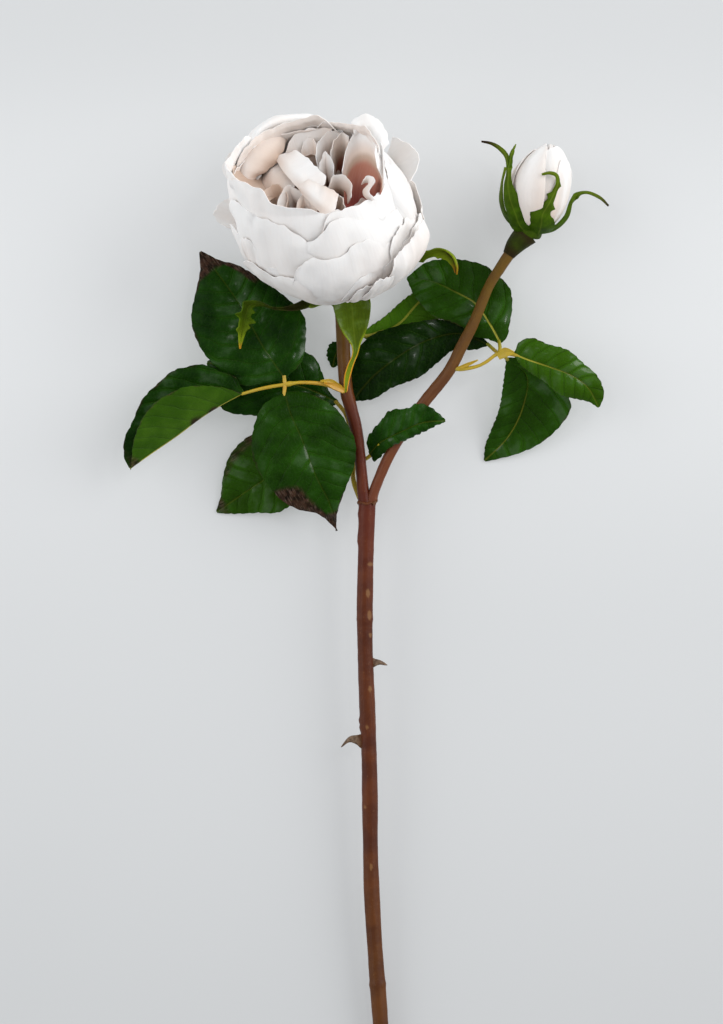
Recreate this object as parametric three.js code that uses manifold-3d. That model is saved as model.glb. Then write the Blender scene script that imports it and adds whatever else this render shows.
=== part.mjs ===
import * as THREE from 'three';
import { mergeVertices } from 'three/addons/utils/BufferGeometryUtils.js';
import Module from 'manifold-3d';

// A cut garden rose, laid down on a surface. It has one open bloom on the main stem, one bud on a
// side branch, four compound leaves and a bract. Sizes are in millimetres. The stem runs along Y
// with the bloom at +Y, and Z points up from the surface. Places are measured across the rose from
// a point near the fork, and sketchShift moves them so that the origin lies under its middle.

const sketchShift = [-1.95, 54.6];

// Driving dimensions
const clearance = 0.3; // between pieces that touch
const leafThickness = 0.7;
const petalThickness = 0.7;
const sepalThickness = 0.9;
const stemSides = 10;
const twigSides = 6;
const stemRadius = 3.15;
const upperStemRadius = 2.45;
const branchRadius = 2.2;
const toothDepth = 1.3;
const stalkHalfWidth = 0.5; // least half width of a leaflet, at its base and tip

const wasm = await Module();
wasm.setup();

// Solids from triangles, and back

function solidOf(geometry) {
  const bare = geometry.clone();
  bare.deleteAttribute('normal');
  bare.deleteAttribute('uv');
  const merged = mergeVertices(bare, 1e-4);
  const mesh = new wasm.Mesh({
    numProp: 3,
    vertProperties: new Float32Array(merged.attributes.position.array),
    triVerts: new Uint32Array(merged.index.array),
  });
  return new wasm.Manifold(mesh);
}

function geometryOf(solid) {
  const mesh = solid.getMesh();
  const geometry = new THREE.BufferGeometry();
  geometry.setAttribute('position', new THREE.BufferAttribute(mesh.vertProperties, 3));
  geometry.setIndex(new THREE.BufferAttribute(mesh.triVerts, 1));
  geometry.computeVertexNormals();
  return geometry;
}

function meshGeometry(points, triangles) {
  const geometry = new THREE.BufferGeometry();
  const flat = points.flatMap((point) => [point.x, point.y, point.z]);
  geometry.setAttribute('position', new THREE.Float32BufferAttribute(flat, 3));
  geometry.setIndex(triangles.flat());
  return geometry;
}

function fuse(solids) {
  return solids.reduce((whole, solid) => whole.add(solid));
}

// The largest outer skin, which drops loose scraps and fills the small hollows that fusing seals
function oneBody(solid) {
  const skins = solid.decompose();
  return skins.reduce((best, skin) => (skin.volume() > best.volume() ? skin : best));
}

// Curves and numbers along a rail

function vector([x, y, z]) {
  return new THREE.Vector3(x, y, z);
}

function smoothRail(points) {
  return new THREE.CatmullRomCurve3(points.map(vector), false, 'centripetal');
}

function along(values, t) {
  const place = Math.min(Math.max(t, 0), 1) * (values.length - 1);
  const low = Math.min(Math.floor(place), values.length - 2);
  return THREE.MathUtils.lerp(values[low], values[low + 1], place - low);
}

function evenSteps(count, from = 0, to = 1) {
  return Array.from({ length: count + 1 }, (_, step) => from + ((to - from) * step) / count);
}

// A round limb that follows a rail, with a flat cap at each end
function limb({ rail, radii, steps, sides = twigSides, grow = 0 }) {
  const curve = smoothRail(rail);
  const frames = curve.computeFrenetFrames(steps, false);
  const points = [];
  const triangles = [];
  for (let step = 0; step <= steps; step += 1) {
    const centre = curve.getPointAt(step / steps);
    const stretch = grow * ((step === steps) - (step === 0));
    centre.addScaledVector(frames.tangents[step], stretch);
    const radius = along(radii, step / steps) + grow;
    for (let side = 0; side < sides; side += 1) {
      const angle = (2 * Math.PI * side) / sides;
      const point = centre.clone();
      point.addScaledVector(frames.normals[step], radius * Math.cos(angle));
      point.addScaledVector(frames.binormals[step], radius * Math.sin(angle));
      points.push(point);
    }
  }
  for (let step = 0; step < steps; step += 1) {
    for (let side = 0; side < sides; side += 1) {
      const here = step * sides + side;
      const next = step * sides + ((side + 1) % sides);
      triangles.push([here, next, next + sides], [here, next + sides, here + sides]);
    }
  }
  const last = steps * sides;
  for (let side = 1; side < sides - 1; side += 1) {
    triangles.push([0, side + 1, side], [last, last + side, last + side + 1]);
  }
  return solidOf(meshGeometry(points, triangles));
}

// A closed blade. Both faces have the same grid and the same split of each square.
function blade(surface, across, lengthwise, thickness) {
  const grid = lengthwise.map((t) => across.map((s) => surface(s, t)));
  const columns = across.length;
  const rows = lengthwise.length;
  const face = [];
  const back = [];
  for (let row = 0; row < rows; row += 1) {
    for (let column = 0; column < columns; column += 1) {
      const west = grid[row][Math.max(column - 1, 0)];
      const east = grid[row][Math.min(column + 1, columns - 1)];
      const south = grid[Math.max(row - 1, 0)][column];
      const north = grid[Math.min(row + 1, rows - 1)][column];
      const sideways = east.clone().sub(west);
      const normal = sideways.cross(north.clone().sub(south)).normalize();
      face.push(grid[row][column].clone().addScaledVector(normal, thickness / 2));
      back.push(grid[row][column].clone().addScaledVector(normal, -thickness / 2));
    }
  }
  const count = rows * columns;
  const triangles = [];
  for (let row = 0; row < rows - 1; row += 1) {
    for (let column = 0; column < columns - 1; column += 1) {
      const a = row * columns + column;
      const b = a + 1;
      const c = b + columns;
      const d = a + columns;
      triangles.push([a, b, c], [a, c, d]);
      triangles.push([count + c, count + b, count + a], [count + d, count + c, count + a]);
    }
  }
  const rim = [];
  for (let column = 0; column < columns; column += 1) rim.push(column);
  for (let row = 1; row < rows; row += 1) rim.push(row * columns + columns - 1);
  for (let column = columns - 2; column >= 0; column -= 1) rim.push((rows - 1) * columns + column);
  for (let row = rows - 2; row > 0; row -= 1) rim.push(row * columns);
  rim.forEach((from, index) => {
    const to = rim[(index + 1) % rim.length];
    triangles.push([to, from, count + from], [to, count + from, count + to]);
  });
  return solidOf(meshGeometry([...face, ...back], triangles));
}

// Leaflets: a midrib rail, and an outline on each side of it with forward-pointing teeth

const bladeAcross = evenSteps(4, -1, 1);
const firstTooth = 0.04; // share of the length before the first tooth, and after the last
const toothPoint = 0.72; // where the point of a tooth stands between its notch and the next

function leaflet({ midrib, left, right, leftRise = 0, rightRise = 0, bulge = 1.2, teeth = 7 }) {
  const rib = smoothRail(midrib);
  const base = midrib[0];
  const tip = midrib[midrib.length - 1];
  const outline = (points) => smoothRail([
    [base[0], base[1], 0],
    ...points.map(([x, y]) => [x, y, 0]),
    [tip[0], tip[1], 0],
  ]);
  const edges = { left: outline(left), right: outline(right) };
  const rowPlaces = [0];
  const notches = new Set();
  const pitch = (1 - 2 * firstTooth) / teeth;
  for (let tooth = 0; tooth < teeth; tooth += 1) {
    const start = firstTooth + pitch * tooth;
    rowPlaces.push(start, start + toothPoint * pitch);
    notches.add(start);
  }
  rowPlaces.push(1);
  const surface = (s, t) => {
    const middle = rib.getPointAt(t);
    const ahead = rib.getTangentAt(t);
    const edge = (s < 0 ? edges.left : edges.right).getPointAt(t);
    const swell = Math.sin(Math.PI * t);
    edge.z = middle.z + swell * (s < 0 ? leftRise : rightRise);
    let reach = Math.abs(s);
    if (reach === 1 && notches.has(t)) {
      const half = edge.distanceTo(middle);
      reach = Math.max(1 - toothDepth / Math.max(half, 1), 0.6);
    }
    const point = middle.clone().lerp(edge, reach);
    const sideways = new THREE.Vector3(ahead.y, -ahead.x, 0).normalize();
    point.addScaledVector(sideways, stalkHalfWidth * s);
    point.z += bulge * 4 * reach * (1 - reach) * swell;
    return point;
  };
  return blade(surface, bladeAcross, rowPlaces, leafThickness);
}

// A ribbon blade for sepals, stipules and the bract: a rail, widths along it and the way it faces
function ribbon({ rail, halfWidths, facing, cup = 0, steps = 10, grow = 0 }) {
  const curve = smoothRail(rail);
  const faces = facing.map((direction) => vector(direction).normalize());
  const surface = (s, t) => {
    const place = t * (faces.length - 1);
    const low = Math.min(Math.floor(place), Math.max(faces.length - 2, 0));
    const high = Math.min(low + 1, faces.length - 1);
    const up = faces[low].clone().lerp(faces[high], place - low).normalize();
    const ahead = curve.getTangentAt(t);
    const sideways = ahead.clone().cross(up).normalize();
    const half = along(halfWidths, t) + grow;
    const point = curve.getPointAt(t);
    point.addScaledVector(ahead, grow * ((t === 1) - (t === 0)));
    point.addScaledVector(sideways, s * half);
    point.addScaledVector(up, cup * half * s * s);
    return point;
  };
  return blade(surface, [-1, 0, 1], evenSteps(steps), sepalThickness + 2 * grow);
}

// Stem: the main stem to the fork, the upper stem to the bloom and the branch to the bud

const mainStemRail = [
  [13.4, -266, 2.5],
  [7.4, -204.8, 5.8],
  [4.2, -150, 8.8],
  [2.8, -99, 11.4],
  [1.6, -50, 13.6],
  [1.8, -6, 15.0],
  [1.9, 3.2, 15.2],
];

const upperStemRail = [
  [1.8, -4, 15.0],
  [0.7, 6.4, 15.2],
  [-0.2, 18, 15.1],
  [-1.6, 31.6, 14.6],
  [-4.4, 43.2, 14.0],
  [-5.6, 48, 13.6],
  [-6.6, 58, 11.8],
  [-7.2, 68.8, 8.6],
  [-7.6, 76.5, 6.8],
  [-8.1, 81, 8],
  [-8.5, 83.2, 9.7],
];

const branchRail = [
  [1.9, -4, 15.0],
  [4.5, 6.4, 15.2],
  [7, 13, 15.4],
  [13.4, 26.4, 15.8],
  [24.8, 43.2, 16.4],
  [35, 56.4, 17],
  [40.2, 66.8, 17.3],
  [44.2, 74.6, 17.5],
  [51, 90.8, 18],
  [55.8, 98.4, 18],
  [59.4, 103.7, 18],
];

// Radii along each rail, as shares of its radius
const mainStemTaper = [0.98, 0.98, 1, 0.98, 1, 1, 1.05];
const upperStemTaper = [1, 1, 0.95, 0.95, 1.02, 1.12, 1.12, 1.12, 1.12];
const branchTaper = [1, 1, 1, 1.06, 1.12, 1.04, 0.95, 0.95, 1.04];

const thorns = [
  { base: [3.2, -60.8, 12.9], tip: [10.4, -61.3, 13.2], height: 2.9, width: 1.3, hook: -0.8 },
  { base: [0.2, -91.6, 11.6], tip: [-8.3, -93.4, 11.2], height: 3.4, width: 1.4, hook: -1.2 },
];

// A thorn: a flattened cone with its long base along the stem and its tip hooked
function thorn({ base, tip, height, width, hook }) {
  const root = vector(base);
  const reach = vector(tip).sub(root);
  const cone = new THREE.ConeGeometry(1, 1, twigSides, 4);
  const position = cone.attributes.position;
  for (let index = 0; index < position.count; index += 1) {
    const out = position.getY(index) + 0.5;
    const slim = 1 - 0.45 * Math.sin(Math.PI * out);
    const point = root.clone().addScaledVector(reach, out);
    point.y += position.getX(index) * height * slim + hook * out * out;
    point.z += position.getZ(index) * width * slim * Math.sign(reach.x) * -1;
    position.setXYZ(index, point.x, point.y, point.z);
  }
  return solidOf(cone);
}

function taper(shares, radius) {
  return shares.map((share) => share * radius);
}

function forkCollar(grow) {
  const profile = [
    [0, -1.1],
    [3.2, -1.1],
    [3.75, -0.3],
    [3.6, 0.7],
    [0, 1.1],
  ].map(([radius, height]) => new THREE.Vector2(radius && radius + grow, height));
  const ring = new THREE.LatheGeometry(profile, stemSides);
  ring.translate(1.95, 3.6, 15.2);
  return solidOf(ring);
}

// Grow fattens the stem, to clear a space round it in its neighbours
function stemLimbs(grow = 0) {
  const mainRadii = taper(mainStemTaper, stemRadius);
  const upperRadii = taper(upperStemTaper, upperStemRadius);
  const branchRadii = taper(branchTaper, branchRadius);
  return fuse([
    limb({ rail: mainStemRail, radii: mainRadii, steps: 16, sides: stemSides, grow }),
    limb({ rail: upperStemRail, radii: upperRadii, steps: 14, sides: stemSides, grow }),
    limb({ rail: branchRail, radii: branchRadii, steps: 12, sides: stemSides, grow }),
    forkCollar(grow),
  ]);
}

// The slanted cut at the end of the stem, as an overlarge block that is taken away
function cutBlock() {
  const block = new THREE.BoxGeometry(30, 30, 30);
  block.translate(0, -15, 0);
  block.rotateZ(0.08);
  block.rotateX(0.85);
  block.translate(13, -261, 2.9);
  return solidOf(block);
}

function stem() {
  const whole = fuse([stemLimbs(), ...thorns.map(thorn)]);
  return whole.subtract(cutBlock()).trimByPlane([0, 0, 1], 0);
}

// Bloom: its own frame has the base of the petals at the origin and its axis along +Z

const bloomBase = vector([-9.8, 90.5, 15.5]);
const bloomLean = THREE.MathUtils.degToRad(12);
const bloomRise = THREE.MathUtils.degToRad(38);
const bloomAxis = vector([
  -Math.sin(bloomLean) * Math.cos(bloomRise),
  Math.cos(bloomLean) * Math.cos(bloomRise),
  Math.sin(bloomRise),
]);

// The local x axis points right, and the local y axis points to the back of the bloom
function frameMatrix(origin, axis) {
  const right = vector([axis.y, -axis.x, 0]).normalize();
  const rear = axis.clone().cross(right);
  return new THREE.Matrix4().makeBasis(right, rear, axis).setPosition(origin);
}

const bloomFrame = frameMatrix(bloomBase, bloomAxis);

// Radius and height of the cup that the outermost petals lie on, from the base to the rim
const cupProfile = new THREE.SplineCurve([
  new THREE.Vector2(3, 0.4),
  new THREE.Vector2(15, 4.6),
  new THREE.Vector2(26, 10),
  new THREE.Vector2(35.5, 19.5),
  new THREE.Vector2(41.5, 29),
  new THREE.Vector2(43, 37),
  new THREE.Vector2(42.4, 46),
  new THREE.Vector2(40.6, 54),
  new THREE.Vector2(38, 60.5),
]);

// Layers of petals from the outside in. Turn is the angle of the first petal, counted from the
// right towards the back, and pinwheel lifts one side of a petal over its neighbour.
const petalLayers = [
  { count: 5, turn: 15, halfAngle: 42, shell: 1, root: 0.06, reach: 0.56, flare: 2, pinwheel: 0.95 },
  { count: 5, turn: 51, halfAngle: 42, shell: 0.935, root: 0.16, reach: 0.74, flare: 1, pinwheel: 0.95 },
  { count: 5, turn: 8, halfAngle: 42, shell: 0.87, root: 0.28, reach: 0.88, flare: 0, pinwheel: 0.95 },
  { count: 5, turn: 35, halfAngle: 41, shell: 0.805, root: 0.42, reach: 1, flare: 0, pinwheel: 0.95 },
  { count: 5, turn: 20, halfAngle: 40, shell: 0.66, root: 0.6, reach: 0.97, flare: 0, pinwheel: 1 },
  { count: 4, turn: 60, halfAngle: 47, shell: 0.48, root: 0.62, reach: 0.93, flare: 0, pinwheel: 1.2 },
  { count: 3, turn: 10, halfAngle: 60, shell: 0.28, root: 0.62, reach: 0.88, flare: 0, pinwheel: 1.2 },
];
const petalRounding = 0.13; // share of its height that a petal loses at its sides
const petalRuffle = 1.2;

function petalSurface(layer, turn, phase) {
  const middle = THREE.MathUtils.degToRad(turn);
  const half = THREE.MathUtils.degToRad(layer.halfAngle);
  return (s, t) => {
    const top = layer.reach * (1 - petalRounding * s * s);
    const profile = cupProfile.getPoint(layer.root + (top - layer.root) * t);
    const angle = middle + half * s * (0.75 + 0.25 * Math.sin(Math.PI * t * 0.8));
    const open = layer.flare * t ** 4 + layer.pinwheel * s;
    const radius = profile.x * layer.shell + open;
    const ruffle = petalRuffle * Math.sin(4 * s + phase) * t ** 3;
    const point = vector([
      radius * Math.cos(angle),
      radius * Math.sin(angle),
      profile.y + ruffle,
    ]);
    return point.applyMatrix4(bloomFrame);
  };
}

// The dense middle that the petals stand out of
const bloomCoreProfile = [
  [0, 0],
  [7, 0],
  [14, 4.4],
  [22.5, 10.6],
  [29, 19.5],
  [33, 29],
  [32.5, 37],
  [27, 42],
  [13, 43],
  [0, 43],
];

function lathed(profile, segments, frame) {
  const points = profile.map(([radius, height]) => new THREE.Vector2(radius, height));
  const turned = new THREE.LatheGeometry(points, segments);
  turned.rotateX(Math.PI / 2);
  turned.applyMatrix4(frame);
  return solidOf(turned);
}

function bloomPetals() {
  const petals = [];
  petalLayers.forEach((layer, depth) => {
    for (let index = 0; index < layer.count; index += 1) {
      const turn = layer.turn + (360 * index) / layer.count;
      const surface = petalSurface(layer, turn, 1.9 * index + depth);
      const columns = depth < 4 ? 6 : 4;
      const rows = depth < 4 ? 4 : 2;
      petals.push(blade(surface, evenSteps(columns, -1, 1), evenSteps(rows), petalThickness));
    }
  });
  const whole = fuse([lathed(bloomCoreProfile, 16, bloomFrame), ...petals]);
  const base = bloomAxis.dot(bloomBase);
  return whole.trimByPlane(bloomAxis.toArray(), base).trimByPlane([0, 0, 1], 0);
}

// Calyx of the bloom: the hip under the petals, and five sepals that grow from its rim

const hipProfile = [
  [0, -9.4],
  [2.9, -9.4],
  [4.2, -7.5],
  [5.2, -4.8],
  [5.4, -2.2],
  [5, -clearance],
  [0, -clearance],
];

const rightSepal = {
  rail: [
    [-6, 91.3, 13.6],
    [4, 93.5, 14.6],
    [12, 96.5, 17.2],
    [20, 100, 21],
    [25.6, 102.4, 24],
    [31.8, 104.4, 26],
    [36.9, 102.6, 26],
    [38.6, 98.8, 24.4],
    [38.4, 95.6, 22.4],
  ],
  halfWidths: [2.2, 3.4, 3.6, 3, 2.2, 2, 2.2, 2.3, 1.2],
  facing: [[-0.2, 0.8, 0.6], [-0.1, 0.5, 1], [0, 0.1, 1], [-0.4, -0.5, 0.8], [-0.9, -0.4, 0.3]],
};

const leftSepal = {
  rail: [
    [-13, 88.6, 13.8],
    [-19, 84.4, 16],
    [-26, 81.6, 18.6],
    [-34.6, 81.6, 21],
    [-41.8, 83, 23.4],
    [-46.6, 80.8, 24.4],
    [-47.6, 75, 23.4],
    [-48.6, 65.4, 20.6],
  ],
  halfWidths: [2.2, 3.2, 3, 2.4, 2, 2.4, 3, 0.7],
  facing: [[-0.1, 0.8, 0.6], [0, 0.5, 1], [0, 0.1, 1], [0, 0, 1], [0.2, 0.2, 1]],
};

// The other three lie against the underside of the cup, as radius and height in the bloom's frame
const closeSepals = [
  { turn: 312, reach: [[4, -1.4], [12, 1.6], [19, 4.6], [23, 6.6]] },
  { turn: 236, reach: [[4, -1.4], [12, 1.6], [18, 4.2], [22, 6.2]] },
  { turn: 92, reach: [[4, -1.4], [11, 1], [16, 3.2], [20, 5.2]] },
];

function closeSepal({ turn, reach, grow }) {
  const angle = THREE.MathUtils.degToRad(turn);
  const place = ([radius, height]) =>
    vector([radius * Math.cos(angle), radius * Math.sin(angle), height])
      .applyMatrix4(bloomFrame)
      .toArray();
  return ribbon({
    rail: reach.map(place),
    halfWidths: [2.4, 3.8, 2.8, 0.6],
    facing: [bloomAxis.toArray()],
    steps: 4,
    grow,
  });
}

// Grow fattens the calyx, to clear a space for it among the petals
function bloomCalyx(grow = 0) {
  return fuse([
    lathed(hipProfile, 12, bloomFrame),
    ribbon({ ...rightSepal, cup: 0.35, steps: 12, grow }),
    ribbon({ ...leftSepal, cup: 0.3, steps: 12, grow }),
    ...closeSepals.map((sepal) => closeSepal({ ...sepal, grow })),
  ]);
}

// Bud on the branch, and its calyx

const budBase = vector([67.6, 113.4, 18.4]);
const budAxis = vector([0.19, 0.975, 0.09]).normalize();
const budFrame = frameMatrix(budBase, budAxis);
const budProfile = new THREE.SplineCurve([
  new THREE.Vector2(2.6, 0.3),
  new THREE.Vector2(7.6, 3),
  new THREE.Vector2(10.8, 10),
  new THREE.Vector2(11.7, 17.5),
  new THREE.Vector2(10.3, 25),
  new THREE.Vector2(6.6, 31),
  new THREE.Vector2(2.6, 34.8),
]);
const budCoreProfile = [
  [0, 0],
  [4.5, 0],
  [7.2, 4.5],
  [8.9, 11],
  [9.4, 18],
  [8, 25],
  [4.6, 30],
  [0, 31],
];
const budLayers = [
  { count: 4, turn: 150, halfAngle: 54, shell: 1, root: 0.1, reach: 0.94, pinwheel: 0.8 },
  { count: 3, turn: 90, halfAngle: 66, shell: 0.8, root: 0.74, reach: 1, pinwheel: 0.7 },
];

function budPetalSurface(layer, turn) {
  const middle = THREE.MathUtils.degToRad(turn);
  const half = THREE.MathUtils.degToRad(layer.halfAngle);
  return (s, t) => {
    const top = layer.reach * (1 - 0.12 * s * s);
    const profile = budProfile.getPoint(layer.root + (top - layer.root) * t);
    const angle = middle + half * s;
    const radius = Math.max(profile.x * layer.shell + layer.pinwheel * s, 0.8);
    const point = vector([radius * Math.cos(angle), radius * Math.sin(angle), profile.y]);
    return point.applyMatrix4(budFrame);
  };
}

function budPetals() {
  const petals = budLayers.flatMap((layer) =>
    evenSteps(layer.count - 1, 0, layer.count - 1).map((index) => {
      const surface = budPetalSurface(layer, layer.turn + (360 * index) / layer.count);
      return blade(surface, evenSteps(5, -1, 1), evenSteps(layer.root < 0.5 ? 4 : 2), petalThickness);
    }),
  );
  const whole = fuse([lathed(budCoreProfile, 12, budFrame), ...petals]);
  return whole.trimByPlane(budAxis.toArray(), budAxis.dot(budBase));
}

const budHipRail = [
  [59.6, 104, 18],
  [61.6, 106.8, 18],
  [64, 109.4, 18.1],
  [66.9, 111.6, 18.25],
];
const budReceptacle = [
  [0, -3.4],
  [4.4, -3.4],
  [5.6, -2],
  [5.2, -clearance],
  [0, -clearance],
];

const budSepals = [
  {
    rail: [
      [65.2, 112.2, 19.5],
      [60.2, 118.4, 21.5],
      [57.9, 125, 23],
      [57.7, 133, 23.5],
      [58.4, 139.6, 23.5],
      [57, 144.4, 23],
      [54, 147, 22.5],
      [48.2, 148.2, 22],
    ],
    halfWidths: [2, 3, 2.6, 1.9, 1.4, 1.2, 0.9, 0.45],
    facing: [[-0.5, -0.4, 0.8], [-0.8, 0, 0.6], [-0.8, 0, 0.6], [-0.2, 0.6, 0.7]],
  },
  {
    rail: [
      [65, 112.2, 17],
      [58.6, 116.6, 15.5],
      [55.6, 124, 15],
      [56.2, 131.6, 15],
      [57.6, 138, 15.4],
    ],
    halfWidths: [2, 3, 2.8, 1.7, 0.5],
    facing: [[-0.8, -0.4, 0.2], [-1, 0, 0], [-1, 0.1, 0]],
  },
  {
    rail: [
      [68.4, 111.4, 21.4],
      [71, 112.6, 26.6],
      [74.2, 119.4, 31.2],
      [77.2, 126.6, 31.4],
      [78.4, 131.4, 31.6],
      [76.6, 134.6, 32.8],
      [72.4, 135, 33.6],
    ],
    halfWidths: [2.2, 4.6, 4.4, 2.4, 1.2, 1.1, 0.5],
    facing: [[0, -0.7, 0.7], [0, -0.3, 1], [0.1, 0, 1], [0.1, 0, 1], [0, 0.5, 1]],
  },
  {
    rail: [
      [70.6, 111.4, 18.2],
      [77, 112.8, 18.4],
      [82.4, 117.8, 18.8],
      [84.4, 124.4, 19.4],
      [86.8, 127.2, 20],
      [90.2, 128, 20.4],
      [95.6, 125.8, 20.6],
      [98.8, 122.4, 20.4],
    ],
    halfWidths: [2, 3.2, 2.8, 1.8, 1.4, 1.2, 0.9, 0.45],
    facing: [[0.3, -1, 0.2], [0.8, -0.5, 0.2], [0.8, 0.3, 0.3], [0.2, 1, 0.4], [0.4, 0.8, 0.4]],
  },
  {
    rail: [
      [68.2, 111.9, 15],
      [69.6, 113.6, 9],
      [72.4, 121, 5.2],
      [74, 129, 5.2],
      [75.6, 136, 6.8],
    ],
    halfWidths: [2.2, 4, 4, 2.4, 0.5],
    facing: [[0, -0.7, -0.7], [0, -0.3, -1], [0, 0, -1]],
  },
];

function budCalyx(grow = 0) {
  return fuse([
    limb({ rail: budHipRail, radii: [2.5, 3.6, 4.4, 4.6], steps: 5, sides: 10, grow }),
    lathed(budReceptacle, 12, budFrame),
    ...budSepals.map((sepal) => ribbon({ ...sepal, cup: -0.35, steps: 9, grow })),
  ]);
}

// Leaves. Each is a rachis with its leaflets, and the first rail point is where it leaves the stem.

const leftFrontLeaf = {
  twigs: [
    {
      rail: [
        [-6.6, 48.2, 15],
        [-10, 49.4, 16.8],
        [-14.2, 51, 17.8],
        [-24.2, 51.8, 19.6],
        [-30.6, 51, 20.2],
        [-39.4, 49.5, 20],
        [-48, 47.2, 18.6],
      ],
      radii: [1.2, 1.05, 0.95, 0.9, 0.85],
      steps: 9,
    },
    { rail: [[-30.6, 51, 20.2], [-31, 54.6, 20.2]], radii: [0.8, 0.7], steps: 2 },
    { rail: [[-30.6, 51, 20.2], [-31, 46.4, 20.4]], radii: [0.8, 0.7], steps: 2 },
  ],
  leaflets: [
    {
      midrib: [
        [-30.6, 53.2, 20.2],
        [-39.8, 66.8, 18.4],
        [-48.6, 82.8, 16],
        [-58.6, 96.8, 13.6],
        [-64.6, 104.2, 12],
      ],
      left: [
        [-39.4, 51.6],
        [-47.8, 51],
        [-57.8, 58.4],
        [-63.1, 64.4],
        [-67, 72.8],
        [-67.7, 79.7],
        [-65.8, 88.9],
        [-64.2, 97.3],
      ],
      right: [
        [-24.2, 60],
        [-22.6, 70.4],
        [-23.4, 78.2],
        [-29.6, 84.8],
        [-39.8, 92.4],
        [-50.2, 98.6],
        [-57, 100.4],
      ],
      leftRise: -1.5,
      rightRise: -2,
      bulge: 1.4,
      teeth: 7,
    },
    {
      midrib: [
        [-30.6, 48, 20.4],
        [-28.6, 40, 22],
        [-24.2, 30, 22.6],
        [-18, 14, 21.4],
        [-12.6, 3.2, 18.6],
        [-9.9, -7.5, 15.6],
      ],
      left: [
        [-39.4, 43],
        [-43.2, 35.3],
        [-44.4, 28.4],
        [-44, 21.6],
        [-41, 14.8],
        [-36.3, 8.6],
        [-31.8, 4],
        [-25.6, 0.8],
        [-18, -0.8],
      ],
      right: [
        [-25.6, 48.4],
        [-18, 46.8],
        [-10.3, 42.2],
        [-5, 35.3],
        [-1.9, 27.7],
        [-2.3, 19.3],
        [-5.8, 10.1],
        [-9.2, 0.1],
      ],
      leftRise: -2.5,
      rightRise: -0.6,
      bulge: 1.6,
      teeth: 7,
    },
    {
      midrib: [
        [-47, 47.6, 18.8],
        [-57.4, 42, 16.6],
        [-64.6, 37.4, 15.8],
        [-73.8, 30.5, 15.2],
        [-83.8, 23.6, 15.2],
        [-92.6, 17.3, 15.6],
      ],
      left: [
        [-56, 50.4],
        [-62.3, 51],
        [-71.9, 50.2],
        [-76.2, 48.1],
        [-81.5, 45.2],
        [-87.2, 39],
        [-91.4, 29],
      ],
      right: [
        [-50.4, 53.8],
        [-55.4, 55.6],
        [-63.8, 58.8],
        [-70, 57.7],
        [-75, 56.4],
        [-80.3, 52],
        [-87.2, 45.2],
        [-91.4, 36],
        [-94.8, 28.4],
        [-94.6, 20.6],
      ],
      leftRise: 12,
      rightRise: 1.5,
      bulge: 0.6,
      teeth: 7,
    },
  ],
};

const leftBackLeaf = {
  twigs: [
    {
      rail: [
        [-0.6, 5.6, 13.4],
        [-3.2, 12.8, 11],
        [-3.2, 22, 10.2],
        [-4.2, 32, 9.8],
        [-6.6, 39.6, 9.6],
        [-10.6, 44.6, 9.6],
      ],
      radii: [1.2, 0.95, 0.9, 0.85, 0.8],
      steps: 9,
    },
    { rail: [[-3.4, 25, 10], [-9, 27.6, 9.6], [-16, 26.4, 9]], radii: [0.85, 0.75, 0.7], steps: 5 },
    {
      rail: [[-3.2, 20.6, 10.2], [0.6, 20.8, 10.8], [4.4, 23.4, 13.6], [7.4, 27.2, 18]],
      radii: [0.85, 0.8, 0.8, 0.75],
      steps: 7,
    },
  ],
  leaflets: [
    {
      midrib: [
        [-9.4, 44, 9.6],
        [-22, 49.6, 10.4],
        [-36.6, 53.6, 10.4],
        [-50, 57, 10.6],
        [-61.8, 60, 11.2],
      ],
      left: [
        [-16.6, 39.4],
        [-28.6, 37.4],
        [-41.4, 38.9],
        [-54.6, 41],
        [-60.6, 48.8],
      ],
      right: [
        [-13, 47.6],
        [-15.4, 54],
        [-18.7, 61.2],
        [-23, 63.8],
        [-32.6, 66.4],
        [-44.6, 66.4],
        [-54.6, 63.8],
      ],
      leftRise: -1,
      rightRise: 0,
      bulge: 0.8,
      teeth: 7,
    },
    {
      midrib: [
        [-14.6, 26.8, 9],
        [-30, 18.6, 7],
        [-45, 9, 3.6],
        [-58, 0, 0.35],
      ],
      left: [
        [-16.6, 16.8],
        [-24.6, 6.8],
        [-33, 0.4],
        [-42.2, 0],
        [-52.6, -0.4],
      ],
      right: [
        [-22.6, 32.6],
        [-34, 32.8],
        [-44.7, 30.2],
        [-52.6, 22.2],
        [-55.2, 14],
        [-56.2, 6],
      ],
      leftRise: -0.6,
      rightRise: 0.8,
      bulge: 1,
      teeth: 7,
    },
    {
      midrib: [
        [3.4, 23.2, 14],
        [7.3, 27.6, 18.6],
        [11.3, 29.9, 20.2],
        [16.6, 32.4, 20.8],
        [24, 35.6, 20.8],
        [33.5, 36.6, 20],
      ],
      left: [
        [2.4, 28.9],
        [4.4, 32.2],
        [8, 36.2],
        [11.3, 40.2],
        [18.6, 41.2],
        [22.6, 43.2],
        [28.2, 41.2],
      ],
      right: [
        [4.6, 20.4],
        [7.4, 22.3],
        [10.6, 25.8],
        [18.2, 29.4],
        [25.2, 32.6],
        [30, 35],
      ],
      leftRise: 1,
      rightRise: -0.4,
      bulge: 0.7,
      teeth: 6,
    },
  ],
};

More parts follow.
